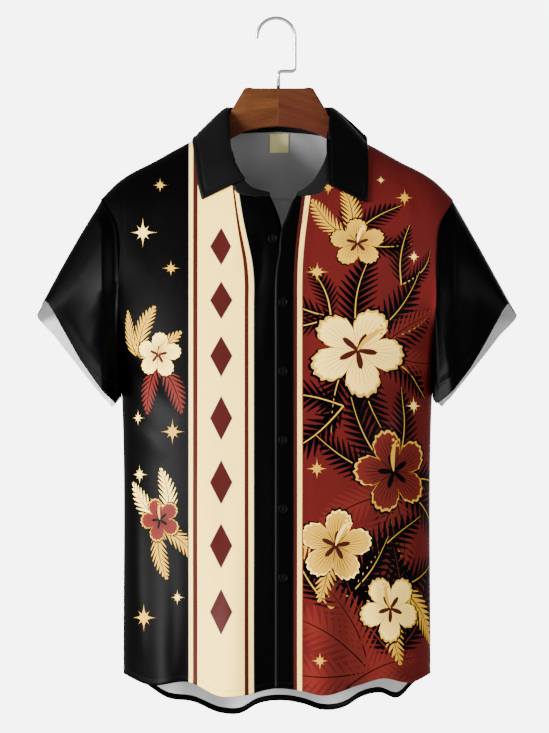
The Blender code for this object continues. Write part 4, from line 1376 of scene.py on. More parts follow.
@dataclass(frozen=True)
class Fronts:
    """The two fronts: the left one with its placket lies over the right one."""

    torso: Torso
    cut: CutCloth
    shell: Shell = Shell(turned_edge=3, side_band=9)
    lower_rows: int = 150
    upper_rows: int = 120
    crowding: float = 1.9
    per_station: int = 4
    ridge_columns: int = 40
    edge_fade: float = 3
    placket: float = 23.5
    placket_rise: float = 0.55
    placket_step: float = 1.6
    # how far inside the placket's side its stitching lies, and how far in the front edge's
    placket_stitch: float = 0.6
    edge_stitch: float = 1.8
    hem_stitch: float = 7.0
    seam_fade: float = 0.05
    # start x, z, end x, z, half width, height, bow
    left_creases: Rows = (
        (26, -292, 12, -420, 9, 1.6, 3), (60, -250, 150, -262, 16, -1.3, -6),
        (188, -282, 120, -330, 13, 1.6, -5), (196, -330, 140, -385, 12, -1.5, 4),
        (199, -420, 150, -470, 14, 2.2, 5), (196, -455, 128, -540, 15, -2.0, -6),
        (34, -470, 46, -640, 14, 1.3, 4), (120, -560, 132, -800, 15, 1.8, -6),
        (86, -640, 92, -850, 12, -1.8, 3), (180, -560, 172, -800, 12, 1.6, 3),
        (30, -700, 26, -860, 10, 1.6, 2), (150, -200, 176, -280, 13, 1.2, 4),
    )
    right_creases: Rows = (
        (-16, -206, -25, -300, 17, 2.4, 3), (8, -300, -14, -440, 10, 2.4, -5),
        (-20, -262, -26, -360, 8, -1.8, 4), (-44, -250, -60, -330, 12, 1.3, 3),
        (-120, -195, -150, -300, 17, 0.2, -5), (-188, -300, -150, -350, 12, 0.2, 5),
        (-198, -400, -150, -455, 10, 1.5, -6), (-196, -440, -128, -520, 12, -1.2, 8),
        (-190, -520, -140, -560, 12, 1.0, 4), (-90, -560, -84, -760, 16, 1.6, 5),
        (-30, -640, -26, -860, 11, -2.0, -3), (-140, -640, -134, -840, 13, -2.3, 4),
        (-176, -600, -170, -820, 11, 2.2, -3), (-3, -520, -6, -820, 9, 1.5, 2),
    )

    def rows(self) -> Array:
        """Share of the height of each row: even to the underarm, then closer to the shoulder."""
        hem = float(self.torso.hem(self.torso.side_rows[0][1], Face.FRONT))
        underarm = (self.torso.underarm_z - hem) / (self.torso.tip_z - hem)
        low = np.linspace(0, underarm, self.lower_rows + 1)
        high = 1 - (1 - underarm) * np.linspace(1, 0, self.upper_rows + 1) ** self.crowding
        return np.concatenate([low, high[1:]])

    def inward(self, points: Array, side: Side) -> Array:
        """Distance over the cloth from the front edge, positive towards the side seam."""
        x, z = points[..., 0], points[..., 2]
        return side * (x - curve(z, self.torso.edge(side)))

    def grid(self, side: Side) -> tuple[Grid, Array]:
        """The front's sheet of points, filled in between its edges and raised by its relief.

        Args:
            side: The front's side as the viewer sees it.

        Returns:
            The sheet and a mark on the points of its side and shoulder seams.
        """
        body, t = self.torso, self.rows()
        edge = body.edge(side)
        bottom_z = body.hem(curve(body.hem(0.0, Face.FRONT), edge), Face.FRONT)
        left_z = bottom_z + t * (body.corner_z - bottom_z)
        left_x = curve(left_z, edge)
        side_z = body.hem(body.centre + side * body.side_rows[0][1], Face.FRONT)
        right_z = side_z + t * (body.tip_z - side_z)
        right = np.stack([side * body.side_angle(right_z), right_z], -1)
        left = np.stack([body.angle_of(left_x, left_z), left_z], -1)
        neck = body.neckline(side, neck_stations(self.per_station))[:, ::2]
        tip = body.centre + side * body.side(body.tip_z)
        ridge_x = np.linspace(neck[-1, 0], tip, self.ridge_columns + 1)
        rim = np.concatenate([neck, np.stack([ridge_x, body.shoulder(ridge_x)], -1)[1:]])
        top = np.stack([body.angle_of(rim[:, 0], rim[:, 1]), rim[:, 1]], -1)
        coarse = len(NECK_STATIONS) - 1
        mark = coarse / (coarse + 7)
        s = np.concatenate([np.linspace(0, mark, len(neck)),
                            np.linspace(mark, 1, self.ridge_columns + 1)[1:]])
        low_angle = left[0, 0] + s * (right[0, 0] - left[0, 0])
        bottom = np.stack([low_angle, body.hem(body.x_of(low_angle, side_z), Face.FRONT)], -1)
        bottom[0], bottom[-1], left[-1], right[-1] = left[0], right[0], top[0], top[-1]
        flat = patch(bottom, top, left, right, s, t, self.edge_fade)
        angle, z = flat[..., 0], flat[..., 1]
        lift = body.overlap_lift(body.x_of(angle, z), z) if side > 0 else 0
        points = body.points(angle, z, Face.FRONT, lift)
        seam = np.zeros(z.shape, bool)
        seam[-1, len(neck) - 1:] = True
        seam[right_z <= body.underarm_z, -1] = True
        points[seam, 1] = -body.gap / 2
        sheet = Grid(points, *self.cut.maps(points, Face.FRONT, side))
        relief = creases(points[..., 0], z, self.left_creases if side > 0 else self.right_creases)
        fade = smoothstep((1 - s) / self.seam_fade)[None] * smoothstep((1 - t) / 0.04)[:, None]
        inward = self.inward(points, side)
        if side > 0:
            rise = 1 - smoothstep((inward - self.placket) / self.placket_step)
            groove = bump(inward, self.placket - self.placket_stitch, 1.3)
            fade = fade * smoothstep((1 - t) / 0.02)[:, None]
            relief = relief * (0.35 + 0.65 * smoothstep((inward - 12) / 30))
            relief = relief + self.placket_rise * (rise - 0.9 * groove)
            relief = relief - 0.5 * bump(inward, 0.0, 2.0)
        relief = relief + turned_hem(sheet.over_hem(), self.hem_stitch)
        sheet.raised(relief * fade * side, seam)
        return sheet, seam

    def build(self, outer: dict[Side, Material], inner: Material, rims: dict[Side, Material],
              thread: Material) -> list[Object]:
        """Both fronts and their stitching.

        Args:
            outer: The printed cloth of each side.
            inner: The lining.
            rims: The cloth of a folded edge, where a side has its own.
            thread: The thread's finish.

        Returns:
            The two fronts and one object with all their stitches.
        """
        made, seams = [], []
        for side, name in ((Side.VIEWER_RIGHT, "front_left"), (Side.VIEWER_LEFT, "front_right")):
            sheet, seam = self.grid(side)
            half = self.shell.thick / 2
            if side > 0:
                inward = self.inward(sheet.points, side)
                seams += [Seam(*sheet.line(inward, at, slice(2, -3)), half)
                          for at in (self.placket - self.placket_stitch, self.edge_stitch)]
            seams.append(Seam(*sheet.turned().line(sheet.over_hem().T, self.hem_stitch,
                                                   slice(1, -1), -side), half))
            if side < 0:
                sheet, seam = sheet.flipped(), seam[:, ::-1]
            made.append(self.shell.build(name, sheet, outer[side], inner, seam, rims.get(side)))
        made.append(sew("front_stitching", seams, thread))
        return made


@dataclass(frozen=True)
class Back:
    """The yoke and the back below it, which ends in a longer curved hem."""

    torso: Torso
    cut: CutCloth
    shell: Shell = Shell(turned_edge=2)
    columns: int = 150
    lower_rows: int = 120
    upper_rows: int = 56
    yoke_rows: int = 56
    crowding: float = 1.9
    neck_columns: int = 48
    shoulder_columns: int = 36
    hem_stitch: float = 6.5
    yoke_stitch: float = 2.2
    # start x, z, end x, z, half width, height, bow
    panel_creases: Rows = (
        (-150, -300, -60, -330, 18, 1.6, -8), (160, -310, 70, -350, 16, 1.5, 8),
        (-196, -410, -120, -480, 14, 2.4, -7), (196, -420, 124, -500, 15, 2.2, 8),
        (-190, -470, -96, -590, 15, -2.0, -8), (190, -500, 110, -600, 14, -1.8, 6),
        (-30, -300, -34, -520, 18, 1.4, 5), (36, -330, 44, -600, 16, 1.5, -6),
        (-90, -600, -84, -860, 14, -2.0, 5), (92, -640, 96, -880, 13, 2.0, -4),
        (-160, -600, -164, -840, 13, 2.0, 4), (164, -560, 168, -830, 12, -1.8, -4),
        (-16, -700, -20, -880, 11, 1.8, 3),
    )

    def yoke_grid(self) -> tuple[Grid, Array]:
        """The yoke's sheet of points, from the yoke seam up to the neck and shoulder seams.

        Returns:
            The sheet and a mark on the points of its shoulder seams.
        """
        body = self.torso
        turn = body.side_angle(body.tip_z)
        arc = body.back_neck_arc(np.linspace(math.pi, 0, self.neck_columns + 1))[0]
        neck_s = body.angle_of(arc, body.tip_z) / turn
        s = np.concatenate([np.linspace(-1, neck_s[0], self.shoulder_columns + 1), neck_s[1:],
                            np.linspace(neck_s[-1], 1, self.shoulder_columns + 1)[1:]])
        x = body.x_of(s * turn, body.tip_z)
        neck = np.abs(x - body.neck) < body.neck_half - 1e-3
        top = np.where(neck, body.neck_seam(x), body.shoulder(x))
        low = body.yoke_seam(s) + body.gap / 2
        t = 1 - np.linspace(1, 0, self.yoke_rows + 1)[:, None] ** self.crowding
        z = low + t * (top - low)
        points = body.points(s * body.side_angle(z), z, Face.BACK)
        seam = np.zeros(z.shape, bool)
        seam[-1] = ~neck
        points[seam, 1] = body.gap / 2
        sheet = Grid(points, *self.cut.maps(points, Face.BACK))
        off = sheet.over_hem()
        relief = 0.35 * bump(off, self.yoke_stitch, 1.2) - 0.3 * (1 - smoothstep(off / 4))
        sheet.raised(relief, seam)
        return sheet, seam

    def panel_grid(self) -> tuple[Grid, Array]:
        """The back's sheet of points, from the hem up to the yoke seam.

        Returns:
            The sheet and a mark on the points of its side seams.
        """
        body = self.torso
        s = np.linspace(-1, 1, self.columns + 1)
        hem = body.hem(body.x_of(s * body.side_angle(body.side_hem), body.side_hem), Face.BACK)
        seam_z = body.yoke_seam(s) - body.gap / 2
        t_low = np.linspace(0, 1, self.lower_rows + 1)[:, None]
        t_high = np.linspace(0, 1, self.upper_rows + 1)[1:, None]
        z = np.concatenate([hem + t_low * (body.underarm_z - hem),
                            body.underarm_z + t_high * (seam_z - body.underarm_z)])
        points = body.points(s * body.side_angle(z), z, Face.BACK)
        seam = np.zeros(z.shape, bool)
        seam[: self.lower_rows + 1, 0] = seam[: self.lower_rows + 1, -1] = True
        points[seam, 1] = body.gap / 2
        sheet = Grid(points, *self.cut.maps(points, Face.BACK))
        relief = creases(points[..., 0], z, self.panel_creases)
        relief = relief * smoothstep((1 - np.abs(s)) / 0.05) * smoothstep((seam_z - z) / 20)
        sheet.raised(-(relief + turned_hem(sheet.over_hem(), self.hem_stitch)), seam)
        return sheet, seam

    def build(self, outer: Material, inner: Material, thread: Material) -> list[Object]:
        """The yoke, the back and their stitching."""
        made, seams = [], []
        for node, shell, (sheet, seam), level in (
                ("back_yoke", Shell(), self.yoke_grid(), self.yoke_stitch),
                ("back_panel", self.shell, self.panel_grid(), self.hem_stitch)):
            line = sheet.turned().line(sheet.over_hem().T, level, slice(1, -1))
            seams.append(Seam(*line, self.shell.thick / 2))
            made.append(shell.build(node, sheet.flipped(), outer, inner, seam[:, ::-1]))
        return [*made, sew("back_stitching", seams, thread)]


@dataclass(frozen=True)
class Sleeves:
    """The two set-in sleeves, flattened tubes that hang from the armholes."""

    torso: Torso
    shell: Shell = Shell(thick=1.1)
    half: int = 84
    rows: int = 96
    # share from the inner end of the hem (-1) to the outer end (1), distance out, height
    hem_left: Rows = ((-1, 199.6, -481), (-0.88, 207, -491), (-0.45, 229.5, -463.5),
                      (0, 251, -434.5), (0.5, 271, -400), (1, 294.4, -357.4))
    hem_right: Rows = ((-1, 199.6, -480.5), (-0.88, 206.5, -490.2), (-0.45, 226, -471),
                       (0, 247, -445.5), (0.5, 266, -414.5), (1, 294.6, -360))
    hem_behind: Rows = ((-1, 200.4, -484), (-0.9, 210.5, -495.6), (-0.6, 222.5, -484.3),
                        (0, 250.5, -449.6), (0.5, 274.5, -419.3), (0.65, 286, -404),
                        (1, 309.5, -381.5))
    depth_front: float = 44
    depth_back: float = 50
    round: float = 9.0
    bulge: float = 0.6
    tuck: tuple[float, float] = (1.2, 1.3)
    # distance out of the long ridge, its height, its reach outwards and inwards
    ridge_left: tuple[float, float, float, float] = (221, 11.0, 32, 15)
    ridge_right: tuple[float, float, float, float] = (225, 7.0, 12, 24)
    flare: float = 0.24
    fold_growth: float = 1.3
    hem_width: float = 19
    # where the hem's stitching meets the hem, and how far in from there it has its full width
    meets_left: tuple[float, float] = (0.30, 1.1)
    meets_right: tuple[float, float] = (0.52, 1.3)
    # angle round from the top in degrees (+ is front), drift, reach, depth
    folds: Rows = ((58, 14, 15, 0.8), (104, -10, 16, -1.2), (-70, 10, 16, 4), (-112, -8, 16, -4))
    # start angle, share of the way down, end angle, share, half width, height, bow
    viewer_left: Rows = (
        (40, 0.04, 58, 0.55, 9, 0.6, 3), (74, 0.98, 116, 0.80, 5, 0.9, -3),
        (-60, 0.05, -84, 0.70, 12, 1.8, 4), (-120, 0.20, -100, 0.90, 12, -2.4, -4),
    )
    viewer_right: Rows = (
        (84, 0.12, 82, 0.70, 11, 0.9, 4), (66, 0.96, 112, 0.78, 5, 0.8, -3),
        (-64, 0.05, -90, 0.72, 12, 1.8, 4), (-124, 0.15, -104, 0.90, 12, -2.4, -4),
    )

    def armhole(self, side: Side) -> Array:
        """The armhole from the shoulder tip down the front, to the underarm and up the back.

        Formula: the body's own edge, moved in along the cloth and down off it by the tuck, so that
        the sleeve comes out from below the body's edge.

        Args:
            side: The sleeve's side as the viewer sees it.

        Returns:
            The ring's points, evenly spaced on each half.
        """
        body = self.torso
        z = body.underarm_z + (body.tip_z - body.underarm_z) * np.linspace(1, 0, 400)
        halves = []
        for face in (Face.FRONT, Face.BACK):
            turn = side * body.side_angle(z)
            edge = body.points(turn, z, face)
            within = unit(body.points(turn - side * 0.03, z, face) - edge)
            out = unit(np.cross(within, np.gradient(edge, axis=0)))
            out = out * np.sign(out[200:201, 1]) * face
            moved = edge + self.tuck[0] * within - self.tuck[1] * out
            moved[[0, -1]] = edge[[0, -1]] - [side * self.tuck[0], 0, 0]
            halves.append(evenly(moved, self.half + 1))
        for points in halves:
            points[0, 1] = points[-1, 1] = 0
        return np.concatenate([halves[0][:-1], halves[1][::-1][:-1]])

    def hem(self, side: Side) -> Array:
        """The hem: a superellipse in plan, laid on the lines of its front and of its back."""
        turn = np.linspace(0, 2 * math.pi, 2 * self.half, endpoint=False)
        c, s = np.cos(turn), np.sin(turn)
        c, s = squared(c, self.round), squared(s, self.round)
        ahead = np.array(self.hem_right if side > 0 else self.hem_left, float).T
        behind = np.array(self.hem_behind, float).T
        share = (1 + s) / 2
        x, z = (share * np.interp(c, ahead[0], ahead[k])
                + (1 - share) * np.interp(c, behind[0], behind[k]) for k in (1, 2))
        y = -np.where(s > 0, self.depth_front, self.depth_back) * s
        return np.stack([self.torso.centre + side * x, y, z], -1)

    def grid(self, side: Side) -> tuple[Grid, Array]:
        """The sleeve's sheet.

        Formula: straight lines from armhole to hem, moved out by folds that grow downwards, by a
        long upright ridge with one flat and one steep side, and by creases.

        Args:
            side: The sleeve's side as the viewer sees it.

        Returns:
            The sheet and how far each point lies above the stitching of its hem.
        """
        count = 2 * self.half
        turn = np.linspace(0, 2 * math.pi, count, endpoint=False)
        low = (1 - np.cos(turn)) / 2
        start = self.armhole(side)
        t = np.linspace(0, 1, self.rows + 1)[:, None]
        points = (1 - t)[..., None] * start + t[..., None] * self.hem(side)
        long = np.linalg.norm(np.diff(points, axis=0), axis=-1).sum(axis=0)
        front = np.degrees(np.where(turn > math.pi, turn - 2 * math.pi, turn))
        cut = np.stack(np.broadcast_arrays(run_length(points[-1]), -t * long), -1)
        sheet = Grid(points, cut, cut, ring=True)
        relief = self.bulge * np.sin(math.pi * t) * (1 - low)
        for at, drift, reach, depth in self.folds:
            growth = depth * smoothstep(t * self.fold_growth)
            relief = relief + growth * bump(front, at + drift * t, reach)
        crest, high, outwards, inwards = self.ridge_right if side > 0 else self.ridge_left
        off = side * (points[..., 0] - self.torso.centre) - crest
        flank = np.where(off > 0, np.exp(-np.abs(off) / outwards), smoothstep(1 + off / inwards))
        ahead = smoothstep(-points[..., 1] / 25) * smoothstep(t * 7)
        relief = relief + high * (0.65 + 0.8 * t) * flank * ahead
        table = self.viewer_right if side > 0 else self.viewer_left
        degree = 100.0
        relief = relief + creases(front[None] + 0 * t, t * degree, [
            (a0, t0 * degree, a1, t1 * degree, *rest)
            for a0, t0, a1, t1, *rest in table]) * smoothstep(t * 12)
        meets, span = self.meets_right if side > 0 else self.meets_left
        along = squared(np.cos(turn), self.round)
        width = self.hem_width * (0.05 + np.where(
            front > 0, np.clip((meets - along) / span, 0, 1), smoothstep(-front / 40)))
        above = (1 - t) * long - width
        relief = relief + 0.4 * (1 - smoothstep(above / 2))
        if side > 0:
            relief = relief + (self.flare * np.clip(-above, 0, width) * ahead
                               * smoothstep(6 * (1 - low)))
        relief = relief - 0.55 * bump(above, 0.0, 1.4)
        relief = relief * smoothstep(t * long / 6)
        sheet.raised(relief * side)
        return sheet, above

    def build(self, outer: Material, inner: Material, thread: Material) -> list[Object]:
        """Both sleeves and their hem stitching."""
        made, seams = [], []
        for side, name in ((Side.VIEWER_RIGHT, "sleeve_left"), (Side.VIEWER_LEFT, "sleeve_right")):
            sheet, above = self.grid(side)
            line = sheet.turned().line(-above.T, 0.0, way=-side)
            seams.append(Seam(*(np.concatenate([part, part[:1]]) for part in line),
                              self.shell.thick / 2))
            sheet = sheet if side > 0 else sheet.flipped()
            made.append(self.shell.build(name, sheet, outer, inner))
        return [*made, sew("sleeve_stitching", seams, thread)]


@dataclass(frozen=True)
class Collar:
    """The stand, sewn to the neck seam, and the leaf that is folded down from its top."""

    torso: Torso
    shell: Shell = Shell(thick=1.3, round=0.5)
    leaf_shell: Shell = Shell(thick=2.0, round=0.9)
    # station, out, y, height of the top of the stand
    stand_top: Rows = (
        (0, 22.9, -67, -222), (1, 33, -66, -216.2), (2, 44.8, -62, -206), (3, 52, -57, -194),
        (4, 58, -50, -182), (5, 62.5, -39, -166), (6, 65.2, -26, -145), (7, 66.4, -12, -123),
        (8, 66.5, 0, -115.5), (9, 63, 10.5, -114.8), (10, 52, 19.5, -114.6),
        (11, 30, 26, -114.6), (12, 0, 28.5, -114.6))
    side_station: float = 8
    back_station: float = 12
    stand_rise: float = 1.2
    right_end: float = 12.6
    left_end: float = 22.9
    leaf_start: tuple[float, float] = (2.0, 6.0)
    leaf_crowding: tuple[float, float] = (1.0, 1.6)
    # station, out, height of the leaf's free edge on the viewer's left and right
    left_leaf: Rows = (
        (2.0, 98.7, -230), (3.2, 104, -208), (4.4, 106, -190), (5.6, 108.5, -172),
        (7, 110.5, -158.5), (8, 110.5, -152.6), (9, 106, -160), (10, 88, -170), (11, 50, -174),
        (12, 0, -175))
    right_leaf: Rows = (
        (6, 63.3, -211), (6.35, 87, -222.5), (6.66, 109.5, -233), (6.7, 111.9, -234),
        (6.74, 112.2, -231), (7, 113.4, -212), (7.35, 113.8, -188), (7.7, 113.8, -167),
        (8, 112.5, -153.4), (9, 107, -160), (10, 88, -170), (11, 50, -174), (12, 0, -175))
    roll_out: float = 5
    roll_up: float = 2.0
    bulge: float = 1.0
    bend: float = 0.55
    lift: float = 2.3
    clear: float = 2.1
    gap: float = 0.8
    mid_thick: float = 1.8
    topstitch: float = 6.4

    def edges(self, side: Side, stations: Array) -> tuple[Array, Array]:
        """The stand's lower and upper edges on one half.

        Args:
            side: The half as the viewer sees it.
            stations: Stations round the neck, 0 at the front end.

        Returns:
            The points of the lower and of the upper edge.
        """
        body = self.torso
        end = self.left_end if side > 0 else self.right_end
        top_rows = [(0, end, *self.stand_top[0][2:]), *self.stand_top[1:]]
        low_front = body.neckline(side, np.minimum(stations, self.side_station))
        round_back = (stations - self.side_station) / (self.back_station - self.side_station)
        arc_x, arc_y = body.back_neck_arc(np.clip(round_back, 0, 1) * math.pi / 2)
        arc_x = body.neck + side * (arc_x - body.neck)
        low_back = np.stack([arc_x, arc_y, body.neck_seam(arc_x)], -1)
        low = np.where((stations > self.side_station)[:, None], low_back, low_front)
        top = np.stack([body.neck + side * curve(stations, top_rows),
                        curve(stations, top_rows, 2), curve(stations, top_rows, 3)], -1)
        return low, top

    @staticmethod
    def square_to(edge: Array, towards: Array) -> Array:
        """Unit vectors square to an edge line, on the side that the given vectors point to."""
        along = unit(np.gradient(edge, axis=0))
        return unit(towards - along * (towards * along).sum(axis=1, keepdims=True))

    def stand_grid(self, rows: int = 14) -> Grid:
        """The stand's sheet from the neck seam to its top."""
        back = np.linspace(self.side_station, self.back_station, 41)[1:]
        stations = np.concatenate([neck_stations(5), back])
        halves = [self.edges(side, stations) for side in (Side.VIEWER_LEFT, Side.VIEWER_RIGHT)]
        low = np.concatenate([halves[0][0], halves[1][0][::-1][1:]])
        top = np.concatenate([halves[0][1], halves[1][1][::-1][1:]])
        low = low + self.square_to(low, top - low) * self.stand_rise
        t = np.linspace(0, 1, rows + 1)[:, None, None]
        points = (1 - t) * low + t * top
        run = np.broadcast_to(run_length(low), points.shape[:2])
        up = t[..., 0] * np.linalg.norm(top - low, axis=-1)
        cut = np.stack([run, up], -1)
        return Grid(points, cut, cut).flipped()

    def leaf_edge(self, side: Side, stations: Array) -> Array:
        """The free edge of the leaf as seen from the front."""
        rows = self.right_leaf if side > 0 else self.left_leaf
        x = self.torso.neck + side * curve(stations, rows)
        return np.stack([x, np.zeros_like(x), curve(stations, rows, 2)], -1)

    def clear_of_body(self, points: Array, stations: Array, side: Side) -> Array:
        """Push points of the leaf out to where they clear the body."""
        body = self.torso
        x, y, z = points[..., 0], points[..., 1], points[..., 2]
        for face in (Face.FRONT, Face.BACK):
            front = face == Face.FRONT
            on_face = stations < self.side_station if front else stations > self.side_station
            lift = body.overlap_lift(x, z) if front and side > 0 else 0
            need = face * (np.abs(body.y(x, z - self.lift, face)) + self.clear + lift)
            need = np.where(body.shoulder(x) > z - self.lift, need, y)
            out = np.minimum(y, need) if front else np.maximum(y, need)
            y = np.where(on_face, out, y)
        return np.stack([x, y, z], -1)

    def half_leaf(self, side: Side, stations: Array, rows: int) -> Array:
        """Mid points of half the leaf: a cubic Bezier from the stand's top to the free edge.

        Args:
            side: The half as the viewer sees it.
            stations: Stations round the neck of its columns.
            rows: The number of steps from the stand to the free edge.

        Returns:
            The points, clear of the body.
        """
        low, top = self.edges(side, stations)
        edge = self.clear_of_body(self.leaf_edge(side, stations), stations, side)
        up = self.square_to(top, top - low)
        out = edge - top
        out = self.square_to(top, out - up * (out * up).sum(axis=1, keepdims=True))
        start = top + up * (self.gap + self.mid_thick / 2)
        first = start + out * self.roll_out + up * self.roll_up
        second = (1 - self.bend) * start + self.bend * edge + (up + out) * self.bulge
        t = np.linspace(0, 1, rows + 1)[:, None, None]
        points = ((1 - t) ** 3 * start + 3 * t * (1 - t) ** 2 * first
                  + 3 * t**2 * (1 - t) * second + t**3 * edge)
        return self.clear_of_body(points, np.broadcast_to(stations, points.shape[:2]), side)

    def leaf_grid(self, per_half: int = 110, rows: int = 44) -> Grid:
        """The leaf's sheet with its topstitched edge."""
        halves = []
        for side, start, crowd in zip(Side, self.leaf_start, self.leaf_crowding):
            share = np.linspace(0, 1, per_half + 1) ** crowd
            halves.append(self.half_leaf(side, start + share * (self.back_station - start), rows))
        right, left = halves
        points = np.concatenate([right, left[:, ::-1][:, 1:]], axis=1)
        down = run_length(points)
        across = run_length(points.transpose(1, 0, 2)).T
        cut = np.stack([across, down], -1)
        sheet = Grid(points, cut, cut)
        from_end = np.minimum(across, across[:, -1:] - across)
        off = np.minimum(down[-1:] - down, from_end)
        relief = -0.75 * bump(off, self.topstitch, 1.5) + 0.35 * bump(off, 3.0, 2.2)
        sheet.raised(relief - 0.5 * bump(off, 0.0, 1.2))
        return sheet

    def stitching(self, sheet: Grid) -> Seam:
        """The topstitching: down one end, along the free edge and up the other end."""
        inset, rows = self.topstitch, slice(2, None)
        down = run_length(sheet.points)
        across = run_length(sheet.points.transpose(1, 0, 2)).T
        keep = (down[-1].mean() - down[rows, 0]) > inset
        ends = [[part[keep] for part in sheet.line(across, at, rows)]
                for at in (inset, across[rows, -1] - inset)]
        low = sheet.turned().line(down.T, down[-1] - inset)
        start, stop = (int(np.linalg.norm(low[0] - end[0][-1], axis=1).argmin()) for end in ends)
        line, normals = (np.concatenate([a, b[start:stop + 1], c[::-1]])
                         for a, b, c in zip(ends[0], low, ends[1]))
        return Seam(line, normals, self.leaf_shell.thick / 2)

    def build(self, outer: Material, inner: Material, thread: Material) -> list[Object]:
        """The stand, the leaf and the leaf's topstitching."""
        stand = self.shell.build("collar_stand", self.stand_grid(), inner, inner)
        sheet = self.leaf_grid()
        leaf = self.leaf_shell.build("collar_leaf", sheet, outer, outer)
        return [stand, leaf, sew("collar_stitching", [self.stitching(sheet)], thread)]


@dataclass(frozen=True)
class Buttons:
    """Six dished four-hole buttons with thread through their holes."""

    torso: Torso
    radius: float = 6.0
    thick: float = 2.4
    rim: float = 1.3
    dish: float = 0.7
    round: float = 0.7
    lift: float = 0.45
    hole: float = 0.8
    hole_pitch: float = 1.35
    hole_depth: float = 1.3
    cloth: float = 1.5
    rings: int = 56
    sides: int = 96
    top: tuple[float, float] = (-4.0, -281.5)
    column_x: float = 9.1
    first_z: float = -362.2
    pitch: float = 87.8
    count: int = 5

    def place(self, x: float, z: float, side: Side) -> tuple[Array, Array]:
        """Where a button's back lies on a front.

        Args:
            x: The button's place across.
            z: Its height.
            side: The side of the opening.

        Returns:
            Its origin and its axes, +y into the cloth.
        """
        body, step = self.torso, self.radius
        across = np.array([2 * step, body.front_y(x + step, z, side)
                           - body.front_y(x - step, z, side), 0])
        upward = np.array([0, body.front_y(x, z + step, side)
                           - body.front_y(x, z - step, side), 2 * step])
        inward = unit(np.cross(upward, across))
        across = unit(across)
        axes = np.array([across, inward, np.cross(across, inward)])
        origin = np.array([x, body.front_y(x, z, side), z]) - inward * (self.cloth / 2 + self.lift)
        return origin, axes

    def face(self) -> tuple[Array, list[tuple[int, ...]]]:
        """One button about its own middle: a turned profile with four round pits.

        Formula: the front's depth is a rounded rim and a dish by the radius, less a steep-sided pit
        round each hole; the back is flat.

        Returns:
            The points and the faces.
        """
        share = np.linspace(0, 1, self.rings + 1)[1:, None]
        turn = np.linspace(0, 2 * math.pi, self.sides, endpoint=False)[None]
        r = self.radius * share**0.85
        x, z = r * np.cos(turn), r * np.sin(turn)
        inside = self.radius - self.rim
        height = self.thick - self.dish * (1 - smoothstep((r - inside + 0.7) / 0.9))
        out = np.clip((r - (self.radius - self.round)) / self.round, 0, 1)
        height = height - self.round * (1 - np.sqrt(1 - 0.999 * out**2))
        height = np.broadcast_to(height, x.shape).copy()
        for a, b in ((-1, -1), (1, -1), (1, 1), (-1, 1)):
            far = np.hypot(x - a * self.hole_pitch, z - b * self.hole_pitch)
            height = height - self.hole_depth * (1 - smoothstep((far - self.hole + 0.15) / 0.3))
        centre = self.thick - self.dish
        front = np.stack([x, -height, z], -1).reshape(-1, 3)
        back = np.stack([x[-1], np.zeros(self.sides), z[-1]], -1)
        vertices = np.concatenate([[[0, -centre, 0]], front, back * [0.93, 1, 0.93], [[0, 0, 0]]])
        ring = 1 + np.arange((self.rings + 1) * self.sides).reshape(self.rings + 1, self.sides)
        ring = np.concatenate([ring, ring[:, :1]], axis=1)
        middle, last = np.zeros(self.sides, int), np.full(self.sides, len(vertices) - 1)
        hub = np.stack([middle, ring[0, 1:], ring[0, :-1]], -1)
        base = np.stack([last, ring[-1, :-1], ring[-1, 1:]], -1)
        return vertices, tuples(hub) + tuples(base) + tuples(quads(ring))

    def build(self, finish: Material, thread: Material) -> list[Object]:
        """The six buttons and the threads that hold them."""
        spots = [(*self.top, Side.VIEWER_LEFT)]
        spots += [(self.column_x, self.first_z - i * self.pitch, Side.VIEWER_RIGHT)
                  for i in range(self.count)]
        local, faces = self.face()
        made, seams = [], []
        for number, (x, z, side) in enumerate(spots, 1):
            origin, axes = self.place(x, z, side)
            made.append(solid(f"button_{number}_turned", origin + local @ axes, faces, finish,
                              f"button_{number}"))
            reach = np.linspace(-1, 1, 9)[:, None]
            for row in (-1, 1):
                line = (origin + self.hole_pitch * (reach * axes[0] + row * axes[2])
                        - axes[1] * (self.thick - self.dish))
                seams.append(Seam(line, np.broadcast_to(-axes[1], line.shape), 0.05))
        style = Stitches(pitch=2.7, long=2.6, radius=0.42, bow=0.35)
        return [*made, sew("button_threads", seams, thread, style)]


@dataclass(frozen=True)
class NeckLabel:
    """A small blank woven label inside the back neck."""

    torso: Torso
    width: float = 24
    top: float = -145
    bottom: float = -169
    thick: float = 0.8
    x: float = 4.0
    stitch_row: int = 2
    gap: float = 0.6
    cloth: float = 1.5

    def build(self, face: Material, thread: Material) -> list[Object]:
        """The label and the stitches round its rim."""
        body = self.torso
        x = np.linspace(self.x - self.width / 2, self.x + self.width / 2, 33)[None]
        z = np.linspace(self.bottom, self.top, 33)[:, None]
        points = body.points(body.angle_of(x, z), z, Face.BACK)
        cut = np.stack(np.broadcast_arrays(x - self.x, z - self.bottom), -1)
        sheet = Grid(points, cut, cut)
        inset = np.minimum(self.width / 2 - np.abs(cut[..., 0]),
                           np.minimum(cut[..., 1], self.top - self.bottom - cut[..., 1]))
        sheet.raised(self.cloth / 2 + self.gap + self.thick / 2 - 0.25 * bump(inset, 1.6, 0.7)
                     - 0.2 * bump(inset, 0, 0.8))
        shell = Shell(thick=self.thick, round=0.3, weave="woven")
        piece = shell.build("neck_label", sheet, face, face)
        k = self.stitch_row
        line, normals = (np.concatenate([at[k, k:-k], at[k:-k, -1 - k], at[-1 - k, k:-k][::-1],
                                         at[k:-k, k][::-1]])
                         for at in (sheet.points, sheet.normals()))
        style = Stitches(pitch=2.2, long=1.6, radius=0.16, bow=0.2)
        return [piece, sew("label_stitching", [Seam(line, normals, self.thick / 2)], thread, style)]


